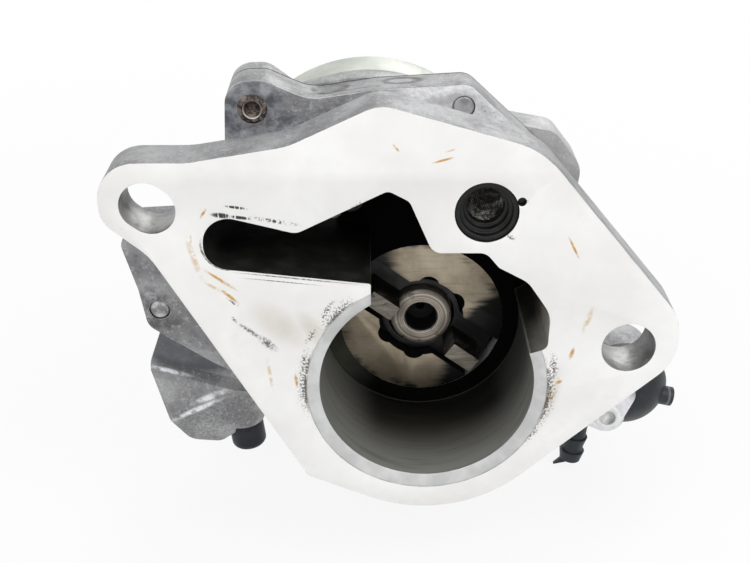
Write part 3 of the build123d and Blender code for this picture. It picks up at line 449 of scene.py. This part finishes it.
hole_finish = Finish("drilled_hole", metallic=0.5, roughness=0.35)
hole_colour = hole_finish.mottled(180.0, 4.0, 0.38, 0.62, (0.17, 0.17, 0.167), (0.39, 0.385, 0.38))
hole_specks = hole_finish.dots(2200.0, 0.20) * hole_finish.step(hole_finish.noise(200.0), 0.42, 0.6)
hole_finish.set(Base_Color=hole_finish.mix(hole_specks * 0.85, hole_colour, (0.05, 0.048, 0.045)))
hole_finish.bump(hole_finish.noise(800.0), distance=0.08 * mm, strength=0.5)

# Bevel faces are painted pale in broken patches: partly worn bare metal, partly painted glint along the
# edges.
worn_and_glinting_edge = Finish("worn_and_glinting_edge", metallic=0.3, roughness=0.4)
edge_wear_and_glint = worn_and_glinting_edge.step(worn_and_glinting_edge.noise(330.0, 4.0), 0.34, 0.52)
edge_colour = worn_and_glinting_edge.mix(edge_wear_and_glint, (0.33, 0.33, 0.33), (0.86, 0.86, 0.86))
edge_specks = worn_and_glinting_edge.dots(2100.0, 0.16) * 0.8
worn_and_glinting_edge.set(Base_Color=worn_and_glinting_edge.mix(edge_specks, edge_colour, (0.06, 0.06, 0.06)))
worn_and_glinting_edge.bump(worn_and_glinting_edge.noise(1200.0), distance=0.1 * mm, strength=0.6)

front_casting = selected_copy("front_housing", "front_casting")
for finish in (front_cast, machined, rim_finish, bore_finish, channel_finish, hole_finish, worn_and_glinting_edge):
    front_casting.data.materials.append(finish.material)
cast_face, flange_face, rim_face, bore_face, channel_face, hole_face, edge_face = range(7)
rounded(front_casting, 0.35 * mm, edge_slot=edge_face)

bore_r, rim_inner_r, rim_outer_r, rim_depth = 20 * mm, 19.9 * mm, 22.3 * mm, 1.1 * mm
right_hole_x, right_hole_z = 36.7 * mm, 8.6 * mm
left_slot_x, left_slot_z, left_slot_extra = -48.9 * mm, 36.4 * mm, 0.8 * mm
hole_reach = 5.4 * mm
face_reach = 0.3 * mm
casting_tree = BVHTree.FromObject(front_casting, bpy.context.evaluated_depsgraph_get())
around = [Vector((math.cos(turn * math.pi / 6), 0, math.sin(turn * math.pi / 6))) for turn in range(12)]

# A face's own centre can lie in a hole of it, so its largest triangle stands for it.
front_casting.data.calc_loop_triangles()
largest = {}
for triangle in front_casting.data.loop_triangles:
    best = largest.get(triangle.polygon_index)
    if best is None or triangle.area > best.area:
        largest[triangle.polygon_index] = triangle


def enclosed(centre, normal):
    """True inside the casting: whichever way one looks across the drive axis there is a wall."""
    start = centre + normal * 0.02 * mm
    return all(casting_tree.ray_cast(start, way, 90 * mm)[0] for way in around)


for face in front_casting.data.polygons:
    corners = [front_casting.data.vertices[corner].co for corner in largest[face.index].vertices]
    centre, normal = sum(corners, Vector()) / 3, face.normal
    out = math.hypot(centre.x, centre.z)
    to_right_hole = math.hypot(centre.x - right_hole_x, centre.z - right_hole_z)
    to_left_slot = math.hypot(centre.x - left_slot_x, centre.z - left_slot_z)
    if face.material_index == edge_face and out > 23 * mm and not enclosed(centre, normal):
        continue
    if normal.y < -0.6 and rim_inner_r < out < rim_outer_r and 0.03 * mm < centre.y < rim_depth:
        face.material_index = rim_face
    elif centre.y < face_reach and normal.y < -0.5:
        face.material_index = flange_face
    elif abs(out - bore_r) < 0.4 * mm and abs(normal.y) < 0.9:
        face.material_index = bore_face
    elif min(to_right_hole, to_left_slot - left_slot_extra) < hole_reach:
        face.material_index = hole_face
    elif enclosed(centre, normal):
        face.material_index = channel_face
    else:
        face.material_index = cast_face
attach(front_casting, "housing")
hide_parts("front_housing")


# Gasket: a thin sheet of pressed fibre between the two castings, dark with oil at its edge.
gasket_finish = Finish("oily_gasket", roughness=0.7)
fibre = gasket_finish.mix(gasket_finish.noise(500.0), (0.012, 0.012, 0.012), (0.06, 0.058, 0.052))
gasket_finish.set(Base_Color=fibre)
gasket_finish.bump(gasket_finish.noise(2500.0), distance=0.05 * mm, strength=0.5)


def dress(finish, *names):
    """Gives CAD nodes their finish."""
    for name in names:
        nodes[name].data.materials.clear()
        nodes[name].data.materials.append(finish.material)


dress(gasket_finish, "joint_gasket")


# Pump body: the rear aluminium casting with its drum, its right-hand lug, the rough faceted
# lump at the lower left and the inlet boss. It is darker and oilier than the front casting.
body_cast = cast_skin("body_cast_skin", (0.22, 0.22, 0.225), (0.44, 0.44, 0.44))
upper_facet = body_cast.patches((-50.0, -11.0, 15.0, 6.5, -14), soft=0.25)
smooth_blue = body_cast.mottled(130.0, 3.0, 0.35, 0.65, (0.085, 0.088, 0.098), (0.16, 0.165, 0.18))
body_cast.paint(upper_facet * 0.85, smooth_blue)
lower_facet = body_cast.patches((-45.0, -28.0, 13.0, 8.0, 20), soft=0.4)
lower_grit = lower_facet * body_cast.step(body_cast.noise(1700.0, 2.0), 0.46, 0.60)
body_cast.paint(lower_grit * 0.55, (0.14, 0.14, 0.145))
# Near-white broken lines along the lump's ridges: wear, and painted glint on the edges.
ridge_wear_and_glint = body_cast.patches((-48.6, -25.9, 9.0, 1.0, 27), (-45.5, -22.6, 6.0, 1.1, 24),
                          (-54.0, -16.4, 6.0, 0.4, -16), soft=0.7)
body_cast.paint(ridge_wear_and_glint * body_cast.step(body_cast.noise(600.0), 0.3, 0.6) * 0.95, (0.95, 0.95, 0.97))
behind_channel = body_cast.patch(-14.0, 33.0, 28.0, 10.0, -8, soft=0.05) > 0.5
joint_inside = (body_cast.radius() < 28.5 * mm) | behind_channel
inner = joint_inside * (body_cast.axis("Y") < 27.3 * mm)
# Inside the joint, round the rotor and behind the channel, the body is painted near black: oil, and painted
# shade. lit_side lays a painted patch of light on its left side.
oil_film_and_shade = body_cast.mix(body_cast.noise(300.0), (0.002, 0.002, 0.002), (0.012, 0.012, 0.011))
lit_side = body_cast.patch(-17.0, -9.0, 9.0, 12.0, 20, soft=0.9)
oil_film_and_shade = body_cast.mix(lit_side, oil_film_and_shade, (0.10, 0.10, 0.08))
body_cast.paint(inner, oil_film_and_shade)
pale_lug = body_cast.patches((26.0, 33.0, 10.0, 12.0, 0), soft=0.3) * (body_cast.axis("Y") < 40 * mm)
body_cast.paint(pale_lug * 0.6, (0.47, 0.465, 0.465))
body_cast.set(Base_Color=body_cast.colour, Metallic=inner * 0.65 + 0.35,
              Roughness=body_cast.noise(300.0) * 0.35 + 0.32 + inner * 0.4)
body_cast.bump(body_cast.grain * (1 - upper_facet * 0.7), distance=0.3 * mm, strength=0.8)
body_casting = selected_copy("pump_body", "body_casting")
body_casting.data.materials.append(body_cast.material)
rounded(body_casting, 0.5 * mm)
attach(body_casting, "housing")
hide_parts("pump_body")


# Rotor: pressed and sintered steel, worn to a brown sheen on its face, and darkened by oil and painted
# shadow near its slot's ends, at its rim and low down. Its slot and the recess round the hub are painted
# near black. It turns in the body's front wall.
rotor_finish = Finish("sintered_rotor", metallic=0.55, roughness=0.4)
rotor_radius = rotor_finish.radius()
rotor_depth = rotor_finish.axis("Y")
face_scratches = rotor_finish.noise(1.0, 4.0, vector=rotor_finish.stretched(8, 90, 2600))
rotor_finish.colour = rotor_finish.mottled(170.0, 4.0, 0.3, 0.7, (0.36, 0.30, 0.215),
                                           (0.56, 0.48, 0.36))
rotor_finish.paint(rotor_finish.step(face_scratches, 0.54, 0.74) * 0.35, (0.13, 0.105, 0.075))
# Oil smears and painted shadow: the face's right part, its left part by the slot's end and its rim are
# painted black, for oil and for the bore's shadow on the rotor. low_shade is painted shade on the lower
# part.
smear_strokes = rotor_finish.noise(1.0, 3.0, vector=rotor_finish.stretched(-28, 120, 1300)) * 0.9
across_x, across_z = rotor_finish.axis("X"), rotor_finish.axis("Z")
stroke_reach = smear_strokes * (4.0 * mm)
right_oil_and_shadow = rotor_finish.step(across_x * 0.94 - across_z * 0.34 + stroke_reach, 8.5 * mm, 12.0 * mm)
right_oil_and_shadow = right_oil_and_shadow * rotor_finish.step(across_x * 0.598 - across_z * 0.802 + stroke_reach, 4.5 * mm,
                                          7.5 * mm)
left_oil_and_shadow = rotor_finish.step(across_x * -1.0 + stroke_reach, 5.5 * mm,
                             9.5 * mm) * (across_x * 0.595 + across_z * 0.804 > 0.0)
slot_oil_and_shadow = right_oil_and_shadow | left_oil_and_shadow
edge_smear_and_shade = rotor_finish.step(rotor_radius, 13.2 * mm, 16.9 * mm)
edge_smear_and_shade = edge_smear_and_shade * rotor_finish.step(rotor_finish.noise(90.0), 0.42, 0.62)
low_shade = rotor_finish.step(across_z * -1.0, 5.0 * mm, 17.0 * mm)
rotor_finish.paint(low_shade * 0.55, (0.10, 0.075, 0.05))
smears_and_shadow = rotor_finish.step(edge_smear_and_shade * 0.8 + smear_strokes - 0.45, 0.15, 0.95) | slot_oil_and_shadow
rotor_finish.paint(smears_and_shadow, (0.010, 0.010, 0.010))
hub_rings = rotor_finish.add("ShaderNodeTexNoise", settings={"noise_dimensions": "1D"},
                             W=rotor_radius * 2600.0, Scale=1.0, Detail=2.0)
hub_colour = rotor_finish.mix(rotor_finish.step(hub_rings, 0.42, 0.6), (0.26, 0.225, 0.185),
                              (0.60, 0.54, 0.46))
hub_oil = rotor_finish.step(rotor_finish.noise(420.0), 0.54, 0.7)
hub_oil = hub_oil | rotor_finish.patch(-5.0, 2.5, 3.2, 4.0, 0, soft=0.8)
hub_colour = rotor_finish.mix(hub_oil * 0.75, hub_colour, (0.06, 0.052, 0.044))
rotor_finish.paint(rotor_radius < 6.4 * mm, hub_colour)
# The slot's walls, the recess round the hub and the hub's hole are painted near black.
in_recess = (rotor_depth > 27.42 * mm) * (rotor_radius > 6.35 * mm)
in_hole = (rotor_depth > 28.0 * mm) * (rotor_radius < 3.4 * mm)
blackened_recesses = in_recess | in_hole
rotor_finish.paint(blackened_recesses, (0.006, 0.006, 0.006))
rotor_finish.set(Base_Color=rotor_finish.colour,
                 Roughness=rotor_finish.noise(350.0) * 0.25 + 0.27 + blackened_recesses * 0.3)
rotor_finish.bump(face_scratches + rotor_finish.noise(1400.0) * 0.5, distance=0.04 * mm, strength=0.5)
turned_rotor = rounded(selected_copy("rotor", "turned_rotor"), 0.15 * mm)
turned_rotor.data.materials.append(rotor_finish.material)
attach(turned_rotor, "rotor")
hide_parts("rotor")


# Drive coupling: a steel bar with a ring round the hub and two dogs that the camshaft turns.
# The dogs' ends are rubbed bright and the rest is black with oil.
coupling_finish = Finish("oiled_coupling", metallic=0.4, roughness=0.35)
dog_end = (coupling_finish.axis("Y") < 21.7 * mm) * (coupling_finish.facing("Y") < -0.4)
rubbed = coupling_finish.noise(1.0, 3.0, vector=coupling_finish.stretched(36.5, 300, 1500))
dog_colour = coupling_finish.mix(coupling_finish.step(rubbed, 0.32, 0.70), (0.17, 0.15, 0.12),
                                 (0.32, 0.29, 0.24))
dog_colour = coupling_finish.mix(coupling_finish.step(coupling_finish.noise(500.0), 0.58, 0.68) * 0.8,
                                 dog_colour, (0.04, 0.035, 0.03))
dark_steel = coupling_finish.mottled(260.0, 4.0, 0.45, 0.75, (0.009, 0.009, 0.009),
                                     (0.035, 0.034, 0.03))
dog_flank = coupling_finish.axis("Y") < 26.0 * mm
dog_flank = dog_flank * coupling_finish.step(coupling_finish.noise(380.0), 0.5, 0.66)
dark_steel = coupling_finish.mix(dog_flank * 0.5, dark_steel, (0.17, 0.15, 0.12))
coupling_finish.set(Base_Color=coupling_finish.mix(dog_end, dark_steel, dog_colour),
                    Roughness=coupling_finish.noise(300.0) * 0.3 + 0.25)
coupling_finish.bump(coupling_finish.noise(900.0) * 0.5 + rubbed * 0.5, distance=0.06 * mm,
                     strength=0.5)
dogged_bar = rounded(selected_copy("drive_coupling", "dogged_bar"), 0.3 * mm, segments=3)
dogged_bar.data.materials.append(coupling_finish.material)
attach(dogged_bar, "coupling")
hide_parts("drive_coupling")


# Vanes: two plates of pressed carbon in the rotor's slot, with rounded tips, and the strip of
# spring steel between them.
carbon = Finish("pressed_carbon", roughness=0.45)
carbon.set(Base_Color=carbon.mottled(1600.0, 3.0, 0.4, 0.65, (0.016, 0.016, 0.018),
                                     (0.045, 0.045, 0.05)))
along_vane = carbon.add("ShaderNodeMapping", Vector=carbon.place, Scale=(300, 3000, 300))
carbon.bump(carbon.noise(1.0, 3.0, vector=along_vane), distance=0.03 * mm, strength=0.5)
dress(carbon, "vane_a", "vane_b")

spring_steel = Finish("spring_steel", metallic=0.9, roughness=0.3)
spring_steel.set(Base_Color=spring_steel.mix(spring_steel.noise(700.0), (0.38, 0.38, 0.37),
                                             (0.66, 0.66, 0.66)))
spring_steel.bump(spring_steel.noise(2500.0), distance=0.02 * mm, strength=0.4)
dress(spring_steel, "vane_spring", "valve_spring")


# Oil port: a moulded rubber seal with steps, wet with oil and full of grit, and behind it
# the strainer, a cup of woven wire pressed into the port.
grimy_rubber = Finish("grimy_rubber", roughness=0.35)
grit = grimy_rubber.dots(1700.0, 0.13) * grimy_rubber.step(grimy_rubber.noise(260.0), 0.46, 0.6)
rubber_colour = grimy_rubber.mottled(240.0, 4.0, 0.4, 0.7, (0.003, 0.003, 0.003), (0.014, 0.014, 0.012))
grimy_rubber.set(Base_Color=grimy_rubber.mix(grit * 0.8, rubber_colour, (0.11, 0.107, 0.09)),
                 Roughness=grimy_rubber.noise(420.0) * 0.4 + 0.25)
grimy_rubber.bump(grimy_rubber.noise(900.0) + grit, distance=0.12 * mm, strength=0.7)
grimy_rubber.surface.inputs["Specular IOR Level"].default_value = 0.3
port_seal = rounded(selected_copy("oil_seal", "port_seal"), 0.22 * mm, segments=3)
port_seal.data.materials.append(grimy_rubber.material)
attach(port_seal, "housing")
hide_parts("oil_seal")

strainer_sheet = Finish("strainer_sheet", metallic=0.6, roughness=0.4)
strainer_sheet.set(Base_Color=strainer_sheet.mottled(900.0, 3.0, 0.4, 0.6, (0.008, 0.008, 0.008),
                                                     (0.05, 0.048, 0.042)))
strainer_sheet.bump(strainer_sheet.noise(1600.0), distance=0.08 * mm, strength=0.6)
dress(strainer_sheet, "oil_strainer")

woven_wire = Finish("woven_wire", metallic=0.7, roughness=0.35)
woven_wire.set(Base_Color=woven_wire.mottled(1300.0, 3.0, 0.42, 0.62, (0.02, 0.019, 0.017),
                                             (0.27, 0.26, 0.23)))
woven_wire.bump(woven_wire.noise(2600.0), distance=0.03 * mm, strength=0.5)
port_x, port_z = 9.7 * mm, 35.5 * mm
strainer_front_y = 4.32 * mm
weave_r = 3.1 * mm
weave_cells = 20
weave_turn = 12
weave_bulge = 0.9 * mm
wire_thickness = 0.15 * mm
bpy.ops.object.select_all(action="DESELECT")
bpy.ops.mesh.primitive_grid_add(x_subdivisions=weave_cells, y_subdivisions=weave_cells,
                                size=2 * weave_r,
                                location=(port_x, strainer_front_y, port_z),
                                rotation=(math.radians(90), math.radians(weave_turn), 0))
weave = bpy.context.object
weave.name = "strainer_weave"
bpy.ops.object.transform_apply(location=True, rotation=True, scale=True)
bpy.ops.object.mode_set(mode="EDIT")
bpy.ops.mesh.select_all(action="DESELECT")
bpy.ops.object.mode_set(mode="OBJECT")
for face in weave.data.polygons:
    face.select = math.hypot(face.center.x - port_x, face.center.z - port_z) > weave_r * 0.97
bpy.ops.object.mode_set(mode="EDIT")
bpy.ops.mesh.delete(type="FACE")
bpy.ops.object.mode_set(mode="OBJECT")
for corner in weave.data.vertices:
    from_middle = math.hypot(corner.co.x - port_x, corner.co.z - port_z) / weave_r
    corner.co.y -= weave_bulge * max(0.0, 1 - from_middle ** 2)
wires = weave.modifiers.new("wires", "WIREFRAME")
wires.thickness = wire_thickness
wires.use_even_offset = False
bpy.ops.object.modifier_apply(modifier="wires")
weave.data.materials.append(woven_wire.material)
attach(weave, "housing")


# Screws and dowels: steel. The screws' ends show in two ears as a pale ring round a sunk core,
# rusty at the top left and at the lower right clean and painted pale, with painted light. The dowels' ends
# lie flush in the other two.
screw_finish = Finish("zinc_screw", metallic=0.45, roughness=0.4)
screw_finish.colour = screw_finish.mottled(420.0, 3.0, 0.35, 0.65, (0.36, 0.355, 0.345),
                                           (0.68, 0.675, 0.66))
# The screw end at the lower right is painted pale: clean metal, and painted light where it sits in shade.
clean_end_painted_light = (screw_finish.axis("X") > 0.0) * (screw_finish.axis("Y") < 26 * mm)
screw_finish.paint(clean_end_painted_light, (0.74, 0.74, 0.74))
screw_finish.paint(screw_finish.dots(1500.0, 0.08) * 0.7, (0.08, 0.07, 0.06))
screw_finish.set(Base_Color=screw_finish.colour, Roughness=screw_finish.noise(400.0) * 0.3 + 0.25)
screw_finish.bump(screw_finish.noise(1500.0), distance=0.05 * mm, strength=0.5)
core_finish = Finish("rusty_core", metallic=0.3, roughness=0.6)
core_colour = core_finish.mottled(800.0, 3.0, 0.42, 0.62, (0.035, 0.022, 0.018), (0.24, 0.19, 0.165))
# The lower right screw's core is painted pale: clean metal, and painted light where it sits in shade.
clean_core_painted_light = core_finish.mix(core_finish.noise(500.0), (0.78, 0.78, 0.78), (0.92, 0.92, 0.92))
core_finish.set(Base_Color=core_finish.mix(core_finish.axis("X") > 0.0, core_colour, clean_core_painted_light))
core_finish.bump(core_finish.noise(1300.0), distance=0.12 * mm, strength=0.8)


def pressed_end(piece, end_y, inset, depth):
    """Insets the round ends at that depth and sinks them, and gives them the second material."""
    for face in piece.data.polygons:
        face.select = face.normal.y < -0.9 and abs(face.center.y - end_y) < 0.05 * mm
    for corner in piece.data.vertices:
        corner.select = False
    bpy.ops.object.select_all(action="DESELECT")
    bpy.context.view_layer.objects.active = piece
    piece.select_set(True)
    bpy.ops.object.mode_set(mode="EDIT")
    bpy.ops.mesh.select_mode(type="FACE")
    bpy.ops.mesh.inset(thickness=inset, depth=0)
    bpy.ops.mesh.inset(thickness=0.12 * mm, depth=-depth)
    piece.active_material_index = 1
    bpy.ops.object.material_slot_assign()
    bpy.ops.object.mode_set(mode="OBJECT")


clamp_screws = rounded(selected_copy("body_screws", "clamp_screws"), 0.2 * mm)
clamp_screws.data.materials.append(screw_finish.material)
clamp_screws.data.materials.append(core_finish.material)
screw_end_y, screw_ring, screw_pit = 19 * mm, 0.5 * mm, 0.35 * mm
pressed_end(clamp_screws, screw_end_y, screw_ring, screw_pit)
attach(clamp_screws, "housing")
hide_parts("body_screws")

dowel_finish = Finish("ground_dowel", metallic=0.35, roughness=0.45)
dowel_finish.colour = dowel_finish.mottled(380.0, 3.0, 0.3, 0.65, (0.34, 0.335, 0.34),
                                           (0.62, 0.615, 0.62))
dowel_grime = dowel_finish.step(dowel_finish.noise(700.0), 0.42, 0.58)
dowel_grime = dowel_grime * (dowel_finish.axis("X") < -40 * mm)
dowel_finish.paint(dowel_grime * 0.7, (0.14, 0.135, 0.13))
dowel_finish.paint(dowel_finish.dots(1600.0, 0.12) * 0.8, (0.07, 0.07, 0.07))
dowel_finish.set(Base_Color=dowel_finish.colour)
dowel_finish.bump(dowel_finish.noise(1200.0), distance=0.08 * mm, strength=0.6)
dress(dowel_finish, "locating_dowels")


# Rear cover: a light aluminium casting, greenish and scuffed, held by five socket screws with
# a rubber ring under it.
cover_finish = Finish("pale_cover", metallic=0.25, roughness=0.42)
cover_finish.colour = cover_finish.mottled(70.0, 4.0, 0.35, 0.7, (0.44, 0.465, 0.41),
                                           (0.62, 0.635, 0.575))
scuff_lines = cover_finish.noise(1.0, 4.0, vector=cover_finish.stretched(15, 90, 700))
cover_scuffs = cover_finish.step(scuff_lines, 0.56, 0.70)
cover_finish.paint(cover_scuffs * 0.55, (0.36, 0.37, 0.33))
cover_specks = cover_finish.dots(700.0, 0.05) * cover_finish.step(cover_finish.noise(120.0), 0.5, 0.62)
cover_finish.paint(cover_specks * 0.7, (0.10, 0.10, 0.09))
cover_finish.set(Base_Color=cover_finish.colour, Roughness=cover_finish.noise(240.0) * 0.3 + 0.28)
cover_finish.bump(cover_finish.noise(500.0) + cover_scuffs * 0.4, distance=0.12 * mm, strength=0.5)
cover_casting = rounded(selected_copy("rear_cover", "cover_casting"), 0.5 * mm, segments=3)
cover_casting.data.materials.append(cover_finish.material)
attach(cover_casting, "housing")
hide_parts("rear_cover")
dress(screw_finish, "cover_screws")


# Inlet valve: a dome of black glass-filled plastic with its hose nipple and its nub, and
# behind it the seat, the disc, and their rubber seals.
dome_finish = Finish("black_plastic_dome", roughness=0.4)
dome_colour = dome_finish.mottled(140.0, 4.0, 0.35, 0.7, (0.011, 0.015, 0.018), (0.028, 0.035, 0.040))
from_valve = dome_finish.radius(47.4, -26.3)
nub_band = (from_valve > 9.75 * mm) * (from_valve < 10.3 * mm)
dome_finish.set(Base_Color=dome_finish.mix(nub_band, dome_colour, (0.13, 0.135, 0.14)),
                Roughness=dome_finish.noise(500.0) * 0.25 + 0.30)
dome_finish.bump(dome_finish.noise(1800.0), distance=0.03 * mm, strength=0.5)
dome_finish.surface.inputs["Specular IOR Level"].default_value = 0.35
inlet_dome = rounded(selected_copy("valve_dome", "inlet_dome"), 0.3 * mm, segments=3)
inlet_dome.data.materials.append(dome_finish.material)
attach(inlet_dome, "housing")
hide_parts("valve_dome")

clean_rubber = Finish("clean_rubber", roughness=0.6)
clean_rubber.set(Base_Color=clean_rubber.mix(clean_rubber.noise(600.0), (0.012, 0.012, 0.013),
                                             (0.03, 0.03, 0.031)))
clean_rubber.bump(clean_rubber.noise(2200.0), distance=0.03 * mm, strength=0.4)
dress(clean_rubber, "cover_seal", "valve_seal", "valve_disc")

seat_plastic = Finish("pale_seat_plastic", roughness=0.5)
seat_plastic.set(Base_Color=seat_plastic.mix(seat_plastic.noise(400.0), (0.62, 0.60, 0.54),
                                             (0.80, 0.78, 0.72)))
seat_plastic.bump(seat_plastic.noise(1500.0), distance=0.03 * mm, strength=0.4)
dress(seat_plastic, "valve_seat")


# Plug: a moulded black rubber cap pressed over the drilling's boss under the lump.
plug_finish = Finish("plug_rubber", roughness=0.45)
plug_finish.set(Base_Color=plug_finish.mottled(300.0, 4.0, 0.4, 0.7, (0.004, 0.005, 0.009),
                                               (0.014, 0.017, 0.024)))
plug_finish.bump(plug_finish.noise(1500.0), distance=0.05 * mm, strength=0.5)
plug_finish.surface.inputs["Specular IOR Level"].default_value = 0.35
boss_plug = rounded(selected_copy("body_plug", "boss_plug"), 0.3 * mm, segments=3)
boss_plug.data.materials.append(plug_finish.material)
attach(boss_plug, "housing")
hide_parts("body_plug")


# Exhaust reed: a strip of spring steel over the exhaust hole, the bent stop above it and
# their screw, all on the channel's floor and dark with oil.
reed_finish = Finish("oiled_reed_steel", metallic=0.7, roughness=0.35)
reed_finish.set(Base_Color=reed_finish.mottled(300.0, 3.0, 0.4, 0.65, (0.02, 0.019, 0.016),
                                               (0.09, 0.085, 0.07)))
reed_finish.bump(reed_finish.noise(1200.0), distance=0.05 * mm, strength=0.5)
dress(reed_finish, "reed_valve", "reed_stop", "reed_screw")
